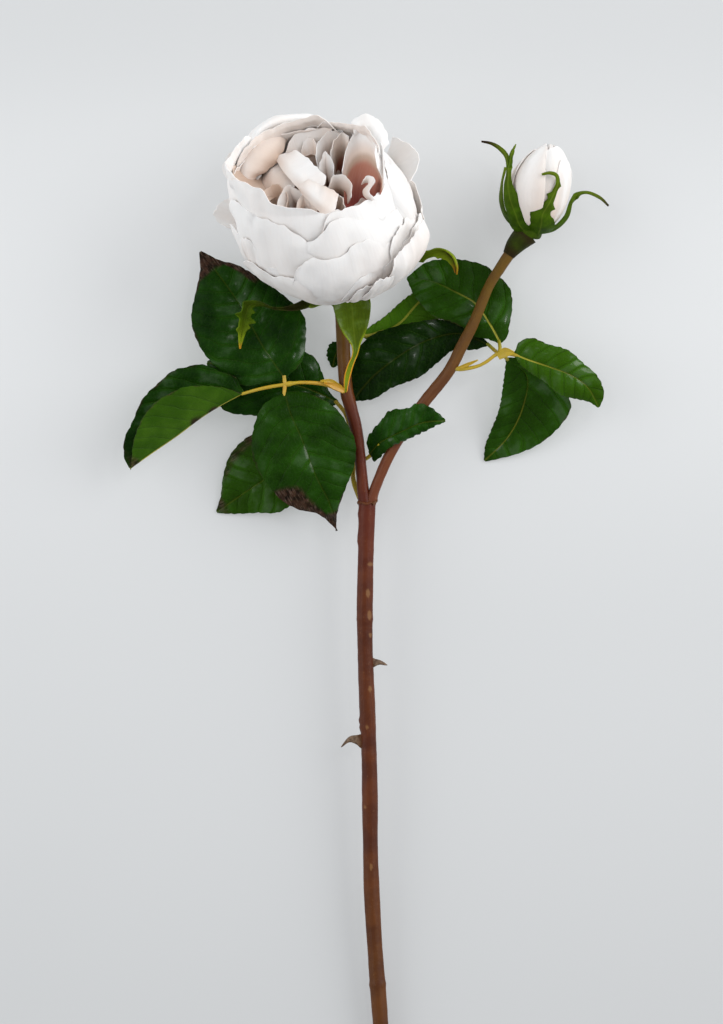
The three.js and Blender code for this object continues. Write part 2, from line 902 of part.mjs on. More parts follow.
const rightLeaf = {
  twigs: [
    {
      rail: [
        [37.2, 57.4, 17.4],
        [40.6, 57.2, 18.6],
        [46.6, 58.4, 19],
        [49.8, 60, 19],
        [55.4, 63.6, 19],
        [63.6, 62.4, 20.4],
      ],
      radii: [1.1, 0.9, 0.8, 0.8, 0.85],
      steps: 8,
    },
    { rail: [[55.2, 63.4, 19], [55.4, 66, 16.8], [55, 68.6, 14.6]], radii: [0.8, 0.7], steps: 4 },
    { rail: [[55, 63.4, 19], [53.4, 64.6, 14.6], [50.4, 67.4, 11.4]], radii: [0.8, 0.7], steps: 5 },
    { rail: [[56.4, 63.2, 19], [58.6, 60.8, 17]], radii: [0.8, 0.7], steps: 3 },
  ],
  leaflets: [
    {
      midrib: [
        [55.6, 67.6, 15],
        [51.4, 75.2, 13.4],
        [45.4, 83.6, 13],
        [38.2, 87.8, 12.4],
        [28, 92.4, 11.2],
        [18.2, 93.6, 10],
      ],
      left: [
        [50.6, 69.4],
        [45.4, 70.6],
        [41, 74],
        [35.4, 76.6],
        [29.8, 78.2],
        [25.4, 82],
        [21, 87.3],
      ],
      right: [
        [57.8, 69.4],
        [59, 75.2],
        [60, 82],
        [59.4, 88.6],
        [56.2, 92.8],
        [49.8, 98],
        [42, 100.4],
        [34.6, 101],
        [26, 99.6],
      ],
      leftRise: -0.6,
      rightRise: -1,
      bulge: 0.5,
      teeth: 7,
    },
    {
      midrib: [
        [50.8, 67, 11.4],
        [39.4, 71.4, 10],
        [25.4, 68.4, 9.2],
        [13, 61, 8.4],
        [4, 53.6, 7.8],
        [-3.4, 44.6, 7.6],
      ],
      left: [
        [45.4, 65.2],
        [37.2, 65.4],
        [30.2, 60.1],
        [23.4, 54.6],
        [11.8, 50],
        [4.2, 45.4],
      ],
      right: [
        [46, 72],
        [39.4, 75.6],
        [31, 76.8],
        [21.4, 75.6],
        [13, 73.8],
        [3.8, 70.2],
        [-2.4, 63],
        [-4.8, 54],
      ],
      leftRise: 0.4,
      rightRise: -1,
      bulge: 0.5,
      teeth: 7,
    },
    {
      midrib: [
        [58, 61.4, 17.4],
        [66, 54.6, 14.6],
        [64.6, 42, 9],
        [58.6, 30, 3.4],
        [49.4, 20.6, 0.35],
      ],
      left: [
        [64, 61.4],
        [72, 57],
        [80, 50.4],
        [83.6, 42.6],
        [79, 34.4],
        [70, 27],
        [62, 23.6],
        [55, 21.8],
      ],
      right: [
        [57.4, 55.4],
        [56.8, 49],
        [55.4, 40.8],
        [52.2, 32.5],
        [49.8, 26],
      ],
      leftRise: 0.6,
      rightRise: 0.6,
      bulge: 0.9,
      teeth: 7,
    },
    {
      midrib: [
        [61, 63.2, 20],
        [67.4, 60.6, 22],
        [75.2, 58, 23],
        [84, 54.6, 22.4],
        [90.4, 50, 20],
        [95, 42, 16.6],
      ],
      left: [
        [63, 67.6],
        [68.2, 69.2],
        [74, 66.8],
        [82.2, 64.4],
        [88.6, 59],
        [94.4, 53.6],
        [96.6, 47],
      ],
      right: [
        [64.4, 58.6],
        [68.8, 55.4],
        [73.8, 52.2],
        [79, 47.6],
        [86, 45.6],
        [91.6, 44.2],
      ],
      leftRise: 0,
      rightRise: -1.4,
      bulge: 0.9,
      teeth: 7,
    },
  ],
};

const upperBackLeaf = {
  twigs: [
    {
      rail: [[-7, 70.6, 8], [-3.2, 71, 5.8], [2.6, 70.6, 5], [9, 72.6, 4.6]],
      radii: [1, 0.85, 0.75],
      steps: 6,
    },
    { rail: [[-3.6, 70.9, 5.8], [-8.6, 67.6, 3.2]], radii: [0.75, 0.7], steps: 3 },
  ],
  leaflets: [
    {
      midrib: [
        [1, 70.2, 5.2],
        [8, 71.8, 4.4],
        [15.4, 75.8, 4.2],
        [21.4, 82.4, 4.4],
        [30.6, 92, 5.6],
      ],
      left: [
        [2.4, 73],
        [9.4, 78],
        [20.6, 87.4],
      ],
      right: [
        [8, 66],
        [19, 67.6],
        [28, 74],
        [33, 84],
      ],
      leftRise: 0.8,
      rightRise: -0.6,
      bulge: 0.4,
      teeth: 7,
    },
    {
      midrib: [
        [-7.4, 68.6, 3.6],
        [-10, 64, 2.6],
        [-11.6, 58, 2],
      ],
      left: [[-5.6, 64.6], [-7.8, 60]],
      right: [[-12, 67.6], [-13.6, 62.4]],
      bulge: 0.3,
      teeth: 3,
    },
  ],
};

function leaf({ twigs, leaflets }) {
  return fuse([...twigs.map(limb), ...leaflets.map(leaflet)]);
}

// The bract: a narrow stalk that widens to a spoon under the bloom
const bractShape = {
  rail: [
    [-6, 47.4, 16],
    [-5.9, 52.6, 17.6],
    [-4.4, 59, 18.4],
    [-2.4, 65, 19],
    [-2.9, 71.4, 20],
    [-3.6, 77, 21.4],
    [-4, 83.6, 23],
  ],
  halfWidths: [0.7, 0.8, 1.3, 1.8, 4.2, 6.2, 6.4],
  facing: [[0, -0.2, 1], [0, -0.2, 1], [0, -0.2, 1]],
  cup: 0.3,
  steps: 10,
};

// Finishes and the finished rose

const finishes = {
  bark: { color: 0x6a3b2c, roughness: 0.6 },
  whitePetal: { color: 0xf0e8e4, roughness: 0.75 },
  leafGreen: { color: 0x1f4a2a, roughness: 0.4 },
  calyxGreen: { color: 0x5c7d2b, roughness: 0.5 },
};

function piece(name, solid, finish) {
  const material = new THREE.MeshStandardMaterial({ ...finishes[finish], metalness: 0 });
  const mesh = new THREE.Mesh(geometryOf(solid), material);
  mesh.name = name;
  return mesh;
}

// Clears a piece of its neighbours, each of them fattened, and cuts it off at the surface
function cleared(solid, ...neighbours) {
  const clear = neighbours.reduce((rest, neighbour) => rest.subtract(neighbour), solid);
  return oneBody(clear.trimByPlane([0, 0, 1], 0));
}

const grownStem = stemLimbs(clearance);
const grownBract = ribbon({ ...bractShape, grow: clearance });

const rose = new THREE.Group();
rose.add(
  piece('stem', stem(), 'bark'),
  piece('bloom_petals', cleared(bloomPetals(), bloomCalyx(clearance)), 'whitePetal'),
  piece('bloom_calyx', cleared(bloomCalyx(), grownStem), 'calyxGreen'),
  piece('bud_petals', cleared(budPetals(), budCalyx(clearance)), 'whitePetal'),
  piece('bud_calyx', cleared(budCalyx(), grownStem), 'calyxGreen'),
  piece('leaf_left_front', cleared(leaf(leftFrontLeaf), grownStem, grownBract), 'leafGreen'),
  piece('leaf_left_back', cleared(leaf(leftBackLeaf), grownStem), 'leafGreen'),
  piece('leaf_right', cleared(leaf(rightLeaf), grownStem), 'leafGreen'),
  piece('leaf_upper_back', cleared(leaf(upperBackLeaf), grownStem), 'leafGreen'),
  piece('bract', cleared(ribbon(bractShape), grownStem), 'calyxGreen'),
);
rose.position.set(sketchShift[0], sketchShift[1], 0);

export default rose;
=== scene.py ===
import math

import bpy
import numpy as np
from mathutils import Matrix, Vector, noise


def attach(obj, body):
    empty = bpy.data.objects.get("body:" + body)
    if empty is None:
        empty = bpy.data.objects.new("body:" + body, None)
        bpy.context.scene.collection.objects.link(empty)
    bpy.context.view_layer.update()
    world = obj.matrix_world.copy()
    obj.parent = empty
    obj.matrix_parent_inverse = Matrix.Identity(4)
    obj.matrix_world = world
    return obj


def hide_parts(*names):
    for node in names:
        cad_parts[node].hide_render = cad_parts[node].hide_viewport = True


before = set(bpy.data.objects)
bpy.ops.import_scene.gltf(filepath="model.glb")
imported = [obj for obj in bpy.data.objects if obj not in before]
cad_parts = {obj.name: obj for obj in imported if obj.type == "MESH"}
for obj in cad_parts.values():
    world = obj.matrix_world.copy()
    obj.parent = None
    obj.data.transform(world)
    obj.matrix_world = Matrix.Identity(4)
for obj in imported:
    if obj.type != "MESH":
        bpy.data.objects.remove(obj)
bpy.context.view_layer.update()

# A cut garden rose that lies on a pale surface, seen from straight above.
# Shapes are worked out in mm across the photo (x right, y up, z off the surface) and moved to the
# frame when a mesh is made. One pixel of the photo is 0.4 mm.
pixelSize = 0.4
photoMiddle = (361.5, 512.0)
sketchShift = np.array([-1.95, 54.6, 0.0])
railSteps = 24  # samples between two points of a rail
tiny = 1e-6


# curves and grids
def place(px, py, z=0.0):
    return ((px - photoMiddle[0]) * pixelSize, (photoMiddle[1] - py) * pixelSize, z)


def distances(path):
    # how far each point of a path lies from its start
    return np.concatenate([[0], np.cumsum(np.linalg.norm(np.diff(path, axis=0), axis=1))])


def rail(points, places):
    # centripetal Catmull-Rom through the points, read at shares of its length
    pts = np.asarray(points, float)
    if len(pts) > 2:
        pts = np.vstack([2 * pts[0] - pts[1], pts, 2 * pts[-1] - pts[-2]])
        dense = []
        for p0, p1, p2, p3 in zip(pts, pts[1:], pts[2:], pts[3:]):
            k1 = max(np.linalg.norm(p1 - p0) ** 0.5, tiny)
            k2 = k1 + max(np.linalg.norm(p2 - p1) ** 0.5, tiny)
            k3 = k2 + max(np.linalg.norm(p3 - p2) ** 0.5, tiny)
            t = np.linspace(k1, k2, railSteps, endpoint=False)[:, None]
            a1 = p0 + (p1 - p0) * t / k1
            a2 = p1 + (p2 - p1) * (t - k1) / (k2 - k1)
            a3 = p2 + (p3 - p2) * (t - k2) / (k3 - k2)
            b1 = a1 + (a2 - a1) * t / k2
            b2 = a2 + (a3 - a2) * (t - k1) / (k3 - k1)
            dense.append(b1 + (b2 - b1) * (t - k1) / (k2 - k1))
        pts = np.vstack([*dense, pts[-2:-1]])
    length = distances(pts)
    spots = np.asarray(places, float) * length[-1]
    return np.stack([np.interp(spots, length, pts[:, axis]) for axis in range(pts.shape[1])], axis=-1)


def unit(v):
    return v / np.maximum(np.linalg.norm(v, axis=-1, keepdims=True), 1e-9)


def gridNormals(grid):
    down = np.gradient(grid, axis=0)
    side = np.gradient(grid, axis=1)
    return unit(np.cross(side, down))


def shares(values, places):
    return np.interp(places, np.linspace(0, 1, len(values)), values)


def ripple(points, size, seed):
    # smooth noise, about -1 to 1, with bumps of the given size in mm
    flat = points.reshape(-1, 3) / size
    offset = Vector((seed * 7.31, seed * 3.17, seed * 5.53))
    values = np.fromiter((noise.noise(Vector(p) + offset) for p in flat), float, len(flat))
    return values.reshape(points.shape[:-1])


def smoothstep(low, high, value):
    t = np.clip((value - low) / (high - low), 0, 1)
    return t * t * (3 - 2 * t)


# meshes
def ringFaces(rows, sides):
    # quads between rings of points that close on themselves
    index = np.arange(rows * sides).reshape(rows, sides)
    after = np.roll(index, -1, axis=1)
    faces = list(zip(index[:-1].ravel(), after[:-1].ravel(), after[1:].ravel(), index[1:].ravel()))
    return index, after, faces


class Build:
    # gathers grids of points into one mesh, with numbers for the materials on each point
    def __init__(self):
        self.points, self.faces, self.data, self.count = [], [], {}, 0

    def add(self, points, faces, data):
        total = len(points)
        for name, values in data.items():
            column = self.data.setdefault(name, [np.zeros(self.count)] if self.count else [])
            column.append(np.broadcast_to(np.asarray(values, float), (total,)))
        for name, column in self.data.items():
            if name not in data:
                column.append(np.zeros(total))
        self.points.append(points)
        self.faces += [tuple(i + self.count for i in face) for face in faces]
        self.count += total

    def sheet(self, grid, thick, under=None, **data):
        # a closed thin sheet; under holds what is different on its back
        rows, columns = grid.shape[:2]
        normal = gridNormals(grid)
        half = np.broadcast_to(np.asarray(thick, float), (rows, columns))[..., None] / 2
        size = rows * columns
        alongMm = distances(grid[:, columns // 2])[:, None]
        wide = np.linalg.norm(np.diff(grid, axis=1), axis=2)
        acrossMm = np.concatenate([np.zeros((rows, 1)), np.cumsum(wide, axis=1)], axis=1)
        acrossMm = acrossMm - acrossMm[:, columns // 2][:, None]
        both = {"alongMm": alongMm, "acrossMm": acrossMm, **data}
        both = {k: np.broadcast_to(np.asarray(v, float), (rows, columns)) for k, v in both.items()}
        back = {**both, **{k: np.broadcast_to(v, (rows, columns)) for k, v in (under or {}).items()}}
        packed = {k: np.concatenate([both[k].ravel(), back[k].ravel()]) for k in both}
        packed["under"] = np.concatenate([np.zeros(size), np.ones(size)])
        index = np.arange(size).reshape(rows, columns)
        a, b = index[:-1, :-1].ravel(), index[:-1, 1:].ravel()
        c, d = index[1:, 1:].ravel(), index[1:, :-1].ravel()
        faces = list(zip(a, b, c, d)) + list(zip(d + size, c + size, b + size, a + size))
        rim = [*index[0, :], *index[1:, -1], *index[-1, -2::-1], *index[-2:0:-1, 0]]
        for here, there in zip(rim, rim[1:] + rim[:1]):
            faces.append((there, here, here + size, there + size))
        points = np.vstack([(grid + sign * normal * half).reshape(-1, 3) for sign in (1, -1)])
        self.add(points, faces, packed)

    def tube(self, path, radii, sides, **data):
        # a tube with closed ends; radii is rows long, or rows by sides
        rows = len(path)
        ahead = unit(np.gradient(path, axis=0))
        side = np.zeros_like(path)
        side[0] = unit(np.cross(ahead[0], [0, 0, 1.0]))
        for row in range(1, rows):
            side[row] = unit(side[row - 1] - ahead[row] * np.dot(side[row - 1], ahead[row]))
        up = np.cross(side, ahead)
        angle = np.linspace(0, 2 * math.pi, sides, endpoint=False)
        radii = np.asarray(radii, float)
        radii = radii[:, None] if radii.ndim == 1 else radii
        ring = side[:, None] * np.cos(angle)[None, :, None] + up[:, None] * np.sin(angle)[None, :, None]
        grid = path[:, None] + ring * radii[..., None]
        values = {"alongMm": distances(path)[:, None], "acrossMm": (angle * radii.mean())[None, :], **data}
        values = {k: np.broadcast_to(np.asarray(v, float), (rows, sides)).ravel() for k, v in values.items()}
        index, after, faces = ringFaces(rows, sides)
        points = grid.reshape(-1, 3)
        for end in (0, rows - 1):
            centre = len(points)
            points = np.vstack([points, grid[end].mean(axis=0)])
            values = {k: np.append(v, v[end * sides]) for k, v in values.items()}
            pairs = zip(after[end], index[end]) if end == 0 else zip(index[end], after[end])
            faces += [(a, b, centre) for a, b in pairs]
        self.add(points, faces, values)

    def finish(self, name, node, slot, material, sharp=48):
        points = (np.vstack(self.points) + sketchShift) / 1000
        points[:, 2] = np.maximum(points[:, 2], 0.0)
        mesh = bpy.data.meshes.new(name)
        mesh.from_pydata(points.tolist(), [], [tuple(int(i) for i in face) for face in self.faces])
        for key, column in self.data.items():
            values = np.concatenate(column).astype(np.float32)
            mesh.attributes.new(key, "FLOAT", "POINT").data.foreach_set("value", values)
        mesh.polygons.foreach_set("use_smooth", [True] * len(mesh.polygons))
        mesh.set_sharp_from_angle(angle=math.radians(sharp))
        mesh.materials.append(material)
        piece = bpy.data.objects.new(name, mesh)
        bpy.context.scene.collection.objects.link(piece)
        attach(piece, "root")
        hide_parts(node)


# materials
def tint(red, green, blue):
    # a colour given as 0 to 255 on a screen
    parts = [c / 255 for c in (red, green, blue)]
    return tuple(c / 12.92 if c <= 0.04045 else ((c + 0.055) / 1.055) ** 2.4 for c in parts) + (1.0,)


class Wire:
    # a socket with arithmetic, which adds Math nodes
    def __init__(self, paint, socket):
        self.paint, self.socket = paint, socket

    def math(self, operation, first, second=0.0):
        return self.paint.node("ShaderNodeMath", {"operation": operation}, {0: first, 1: second})

    def __add__(self, other): return self.math("ADD", self, other)
    def __radd__(self, other): return self.math("ADD", other, self)
    def __sub__(self, other): return self.math("SUBTRACT", self, other)
    def __rsub__(self, other): return self.math("SUBTRACT", other, self)
    def __mul__(self, other): return self.math("MULTIPLY", self, other)
    def __rmul__(self, other): return self.math("MULTIPLY", other, self)
    def __abs__(self): return self.math("ABSOLUTE", self)
    def fraction(self): return self.math("FRACT", self)

    def span(self, low, high, start=0.0, end=1.0):
        # smooth step from start to end while this goes from low to high
        return self.paint.node("ShaderNodeMapRange", {"interpolation_type": "SMOOTHSTEP"},
                               {0: self, 1: low, 2: high, 3: start, 4: end})


shaderNames = {
    "color": "Base Color", "rough": "Roughness", "normal": "Normal", "coat": "Coat Weight",
    "coatRough": "Coat Roughness", "through": "Subsurface Weight", "depth": "Subsurface Scale",
    "spread": "Subsurface Radius", "spec": "Specular IOR Level", "glow": "Emission Color",
    "glowPower": "Emission Strength",
}


class Paint:
    # a material, with its colours by name and a method for each kind of node
    def __init__(self, name, colors):
        self.material = bpy.data.materials.new(name)
        self.material.use_nodes = True
        self.tree = self.material.node_tree
        self.shader = self.tree.nodes["Principled BSDF"]
        self.colors = {key: tint(*color) for key, color in colors.items()}

    def fill(self, socket, value):
        if isinstance(value, Wire):
            self.tree.links.new(value.socket, socket)
        else:
            socket.default_value = value

    def node(self, kind, settings=None, sockets=None, out=0):
        made = self.tree.nodes.new(kind)
        for key, value in (settings or {}).items():
            setattr(made, key, value)
        for key, value in (sockets or {}).items():
            self.fill(made.inputs[key], value)
        return Wire(self, made.outputs[out])

    def values(self, *names):
        # numbers that Build has put on the points
        return [self.node("ShaderNodeAttribute", {"attribute_name": name}, out="Fac") for name in names]

    def spot(self):
        return self.node("ShaderNodeTexCoord", out="Object")

    def join(self, x, y):
        return self.node("ShaderNodeCombineXYZ", None, {0: x, 1: y})

    def cloud(self, vector, scale, detail=3.0, rough=0.55):
        return self.node("ShaderNodeTexNoise", None,
                         {"Vector": vector, "Scale": scale, "Detail": detail, "Roughness": rough})

    def cells(self, vector, scale):
        return self.node("ShaderNodeTexVoronoi", {"feature": "DISTANCE_TO_EDGE"},
                         {"Vector": vector, "Scale": scale})

    def mix(self, factor, first, second, kind="MIX"):
        # a colour is a socket, four numbers or a name in the look's own dictionary
        first, second = [self.colors[c] if isinstance(c, str) else c for c in (first, second)]
        return self.node("ShaderNodeMix", {"data_type": "RGBA", "blend_type": kind},
                         {0: factor, 6: first, 7: second}, out=2)

    def layers(self, color, *coats):
        # lays each colour over what is there, as far as its factor says
        for factor, coat in coats:
            color = self.mix(factor, color, coat)
        return color

    def bump(self, height, distance, strength):
        return self.node("ShaderNodeBump", None,
                         {"Height": height, "Distance": distance, "Strength": strength})

    def finish(self, **sockets):
        for name, value in sockets.items():
            self.fill(self.shader.inputs[shaderNames[name]], value)
        return self.material


petalColors = {"white": (235, 233, 231), "cream": (222, 205, 193), "beige": (186, 162, 144),
               "rose": (168, 108, 88), "wine": (126, 30, 20), "streak": (214, 196, 186),
               "blushAndShade": (190, 150, 138)}


def petalPaint(name):
    # tone runs from white over beige to deep wine red; tone rises deeper in the cup, so this colour is partly
    # the petals' own blush and red and partly painted shade
    paint = Paint(name, petalColors)
    tone, along, across = paint.values("tone", "alongMm", "acrossMm")
    patches = paint.cloud(paint.spot(), 120.0, 3.0)
    streaks = paint.cloud(paint.join(across * 0.9, along * 0.08), 1.0, 4.0, 0.6)
    veins = paint.cloud(paint.join(across * 0.85, along * 0.05), 1.0, 2.0)
    shade = (tone + (patches - 0.5) * 0.16 * tone.span(0.0, 0.3, 0.25, 1.0)).span(0.0, 1.0)
    color = paint.layers(paint.mix(tone.span(0.0, 0.34), "white", "cream"),
                         (tone.span(0.3, 0.48), "beige"), (tone.span(0.46, 0.68), "rose"),
                         (tone.span(0.64, 1.0), "wine"), (streaks.span(0.45, 0.75) * 0.07, "streak"),
                         (shade * 0.12, "blushAndShade"))
    wrinkle = veins * 0.7 + streaks * 0.3 + patches * 0.4
    return paint.finish(color=color, rough=patches.span(0.2, 0.8, 0.5, 0.64), through=0.22, depth=0.0016,
                        spread=(1.0, 0.86, 0.78), normal=paint.bump(wrinkle, 0.0006, 0.22), spec=0.2)


leafColors = {"top": (8, 36, 0), "topPale": (32, 74, 6), "topVein": (14, 36, 8), "below": (48, 84, 10),
              "belowPale": (74, 112, 24), "lit": (80, 122, 10), "shade": (4, 16, 0), "vein": (6, 22, 2),
              "net": (60, 98, 24), "veinPale": (80, 120, 34), "rib": (176, 170, 66),
              "burn": (24, 12, 8), "burnPale": (64, 42, 32), "burnStreak": (118, 98, 86)}


def leafPaint(name):
    paint = Paint(name, leafColors)
    along, across, under, lit, burn = paint.values("alongMm", "acrossMm", "under", "lit", "burn")
    veinPhase, veinStep, ribLight = paint.values("veinPhase", "veinStep", "ribLight")
    far = abs(across)
    offLine = abs(veinPhase.fraction() - 0.5) * veinStep
    patches = paint.cloud(paint.spot(), 70.0, 4.0)
    small = paint.cloud(paint.spot(), 420.0, 3.0)
    streaks = paint.cloud(paint.join(along * 0.3, across * 2.2), 1.0, 3.0)
    rib = far.span(0.25, 0.6, 1.0, 0.0)
    vein = offLine.span(0.12, 0.42, 1.0, 0.0) * far.span(0.3, 1.2)
    fine = paint.cells(paint.join(along, across * 0.9), 0.72).span(0.0, 0.10, 1.0, 0.0)
    top = paint.mix(patches.span(0.3, 0.75), "top", "topPale")
    top = paint.mix(offLine.span(0.3, 2.6) * 0.2, top, "topVein")
    below = paint.mix(patches.span(0.3, 0.75), "below", "belowPale")
    brown = paint.mix(small.span(0.35, 0.7), "burn", "burnPale")
    brown = paint.mix(streaks.span(0.5, 0.7) * 0.5, brown, "burnStreak")
    # painted shade: the dark vein colour darkens the sunk vein grooves
    color = paint.layers(paint.mix(under, top, below), (lit * 0.9, "lit"), (lit * -1.0, "shade"),
                         (vein * (0.34 - under * 0.28), "vein"), (fine * 0.08, "net"),
                         (vein * patches.span(0.3, 0.7) * (0.12 - under * 0.1), "veinPale"),
                         (rib * ribLight, "rib"), (burn.span(0.25, 0.75) * 0.95, brown))
    height = small * 0.12 + fine * -0.25 + vein * -0.7 + rib * -0.6
    height = height + offLine.span(0.0, 2.2) * (0.75 - under * 0.4)
    rough = paint.node("ShaderNodeMapRange", None, {0: patches + burn * 0.4, 1: 0.3, 2: 0.9, 3: 0.3, 4: 0.46})
    coat = patches.span(0.5, 0.66) * offLine.span(0.5, 1.6) * (1.0 - under) * 0.7
    return paint.finish(color=color, rough=rough, spec=0.045, normal=paint.bump(height, 0.0005, 0.6),
                        coat=coat, coatRough=0.17, through=0.05, depth=0.0012, spread=(0.5, 1.0, 0.3))


stalkColors = {"green": (98, 116, 20), "ripe": (176, 150, 30), "orange": (190, 120, 30),
               "patch": (132, 92, 36), "streak": (86, 104, 34)}


def stalkPaint(name):
    paint = Paint(name, stalkColors)
    ripe, along, across = paint.values("ripe", "alongMm", "acrossMm")
    patches = paint.cloud(paint.spot(), 260.0, 3.0)
    streaks = paint.cloud(paint.join(across * 2.2, along * 0.14), 1.0, 3.0)
    color = paint.layers(paint.mix(ripe.span(0.0, 0.5), "green", "ripe"), (ripe.span(0.5, 1.0), "orange"),
                         (patches.span(0.5, 0.8) * 0.5, "patch"), (streaks.span(0.5, 0.8) * 0.35, "streak"))
    return paint.finish(color=color, rough=patches.span(0.2, 0.8, 0.36, 0.5), through=0.08, depth=0.001,
                        spread=(1.0, 0.8, 0.3), normal=paint.bump(streaks + patches * 0.4, 0.0003, 0.5))


sepalColors = {"green": (28, 54, 2), "pale": (58, 90, 6), "ripe": (128, 146, 28), "orange": (206, 142, 40),
               "fibre": (36, 60, 8), "rib": (128, 142, 50), "dark": (44, 30, 18)}


def sepalPaint(name, coat=0.0):
    paint = Paint(name, sepalColors)
    # the burn value darkens the sepals: dry brown tips, and painted shade inside the hollow of a curled tip
    ripe, dark, along, across = paint.values("ripe", "burn", "alongMm", "acrossMm")
    patches = paint.cloud(paint.spot(), 240.0, 3.0)
    fibres = paint.cloud(paint.join(across * 3.0, along * 0.2), 1.0, 3.0)
    color = paint.layers(paint.mix(patches.span(0.3, 0.75), "green", "pale"), (ripe.span(0.0, 0.6), "ripe"),
                         (ripe.span(0.6, 1.0), "orange"), (fibres.span(0.5, 0.75) * 0.4, "fibre"),
                         (abs(across).span(0.0, 0.5, 0.2, 0.0), "rib"), (dark.span(0.1, 0.9), "dark"))
    shine = {"coat": patches.span(0.45, 0.7) * coat, "coatRough": 0.16} if coat else {}
    return paint.finish(color=color, rough=patches.span(0.2, 0.8, 0.36, 0.52), through=0.08, depth=0.001,
                        spread=(0.7, 1.0, 0.3), normal=paint.bump(fibres + patches * 0.5, 0.0004, 0.6),
                        spec=0.05, **shine)


barkColors = {"brown": (60, 26, 5), "pale": (88, 45, 14), "streak": (66, 28, 14), "wine": (94, 30, 20),
              "pink": (172, 124, 90), "green": (98, 74, 16), "grit": (140, 100, 60), "mark": (150, 112, 70),
              "gray": (72, 56, 44), "grayPale": (128, 108, 88)}


def barkPaint(name):
    paint = Paint(name, barkColors)
    along, across, wine, green = paint.values("alongMm", "acrossMm", "wine", "green")
    mark, gray, pink = paint.values("mark", "gray", "pink")
    patches = paint.cloud(paint.spot(), 110.0, 4.0)
    grit = paint.cloud(paint.spot(), 900.0, 3.0)
    streaks = paint.cloud(paint.join(across * 1.1, along * 0.07), 1.0, 4.0, 0.65)
    thorny = paint.mix(grit.span(0.3, 0.7), "gray", "grayPale")
    color = paint.layers(paint.mix(patches.span(0.3, 0.7), "brown", "pale"),
                         (streaks.span(0.42, 0.7) * 0.55, "streak"), (wine * 0.6, "wine"),
                         (pink * streaks.span(0.3, 0.65, 0.9, 0.45), "pink"),
                         (green * patches.span(0.25, 0.6, 0.5, 1.0), "green"),
                         (grit.span(0.62, 0.8) * 0.3, "grit"), (mark.span(0.2, 0.8) * 0.4, "mark"),
                         (gray * 0.9, thorny))
    height = streaks * 0.6 + grit * 0.4 + patches * 0.3
    return paint.finish(color=color, rough=streaks.span(0.3, 0.7, 0.32, 0.5), spec=0.18,
                        normal=paint.bump(height, 0.0004, 0.7))


petalLook = petalPaint("petal_white")
budLook = petalPaint("petal_bud")
leafLook = leafPaint("leaf_green")
stalkLook = stalkPaint("leaf_stalk")
sepalLook = sepalPaint("sepal_green")
bractLook = sepalPaint("bract_green", 0.4)
barkLook = barkPaint("stem_bark")
print("materials")


# stem: its limbs, and how red and how green each is at a given y
stemLimbs = {
    "main": {
        "points": [(13.4, -266, 2.5), (7.4, -204.8, 5.8), (4.2, -150, 8.8), (2.8, -99, 11.4),
            (1.6, -50, 13.6), (1.8, -6, 15), (1.9, 3.2, 15.2)],
        "taper": [0.98, 0.98, 1, 0.98, 1, 1, 1.05], "radius": 3.15, "rows": 270, "sides": 28, "seed": 1,
        "wine": lambda y: 0.25 + 0.55 * np.exp(-((y + 2) / 26) ** 2),
        "green": lambda y: smoothstep(-100, -200, y) * 0.2},
    "upper": {
        "points": [(1.8, -4, 15), (0.7, 6.4, 15.2), (-0.2, 18, 15.1), (-1.6, 31.6, 14.6), (-4.4, 43.2, 14),
            (-5.6, 48, 13.6), (-6.6, 58, 11.8), (-7.2, 68.8, 8.6), (-7.6, 76.5, 6.8), (-8.1, 81, 8),
            (-8.5, 83.2, 9.7)],
        "taper": [1, 1, 0.95, 0.95, 1.02, 1.12, 1.12, 1.12, 1.12], "radius": 2.45, "rows": 100, "sides": 24,
        "seed": 2, "wine": lambda y: 0.75 - 0.35 * smoothstep(20, 60, y),
        "green": lambda y: 0.7 * smoothstep(38, 70, y)},
    "branch": {
        "points": [(1.9, -4, 15), (4.5, 6.4, 15.2), (7, 13, 15.4), (13.4, 26.4, 15.8), (24.8, 43.2, 16.4),
            (35, 56.4, 17), (40.2, 66.8, 17.3), (44.2, 74.6, 17.5), (51, 90.8, 18), (55.8, 98.4, 18),
            (59.4, 103.7, 18)],
        "taper": [1, 1, 1, 1.06, 1.12, 1.04, 0.95, 0.95, 1.04], "radius": 2.2, "rows": 120, "sides": 24,
        "seed": 3, "pink": 0.18, "wine": lambda y: 1.25 - 1.1 * smoothstep(10, 62, y),
        "green": lambda y: 0.15 + 0.75 * smoothstep(40, 98, y)},
}
stemShape = {
    # pale marks down the stem: x, y, and half of their height and width
    "marks": [(2.6, -32.4, 1.9, 0.9), (3.5, -20.8, 1, 1.3), (3.2, -41.2, 2.2, 0.9), (3.5, -49.2, 1, 0.8),
        (3.4, -70.8, 1.4, 0.8), (1.4, -118, 1, 0.6), (3.8, -142, 1.6, 0.7), (2.2, -86, 1.2, 0.6)],
    # low rings round the stem: y, and how far they stand out
    "rings": [(-42.8, 0.16), (-189.2, 0.22), (-97, 0.1)],
    # small bumps: x, y, how far they stand out and their half height
    "bumps": [(-1.9, -0.8, 0.5, 1.4), (-1.7, -9.6, 0.45, 1.8), (-1.4, -12, 0.4, 1.2),
        (-1.2, -83.4, 0.7, 1.2), (-0.9, -86.4, 0.6, 1), (6, 5.2, 0.5, 0.6)],
    "cutPoint": (13, -261, 2.9), "cutNormal": (-0.0799, 0.6579, 0.7489),
    "fork": (1.95, 3.6, 15.2), "forkRadius": 3.25,
    "flap": [(4.4, 3.2, 17.6), (5.6, 4.0, 17.3), (6.4, 4.5, 16.6)],
    "thorns": [
        {"base": (3.6, -60.6, 13.0), "bend": (7.2, -60.2, 13.3), "tip": (10.4, -61.3, 13.2),
         "tall": 2.7, "wide": 1.3, "seed": 4.0},
        {"base": (0.6, -92.0, 11.6), "bend": (-4.6, -91.0, 11.8), "tip": (-8.3, -94.2, 11.2),
         "tall": 3.3, "wide": 1.4, "seed": 5.0},
    ],
}


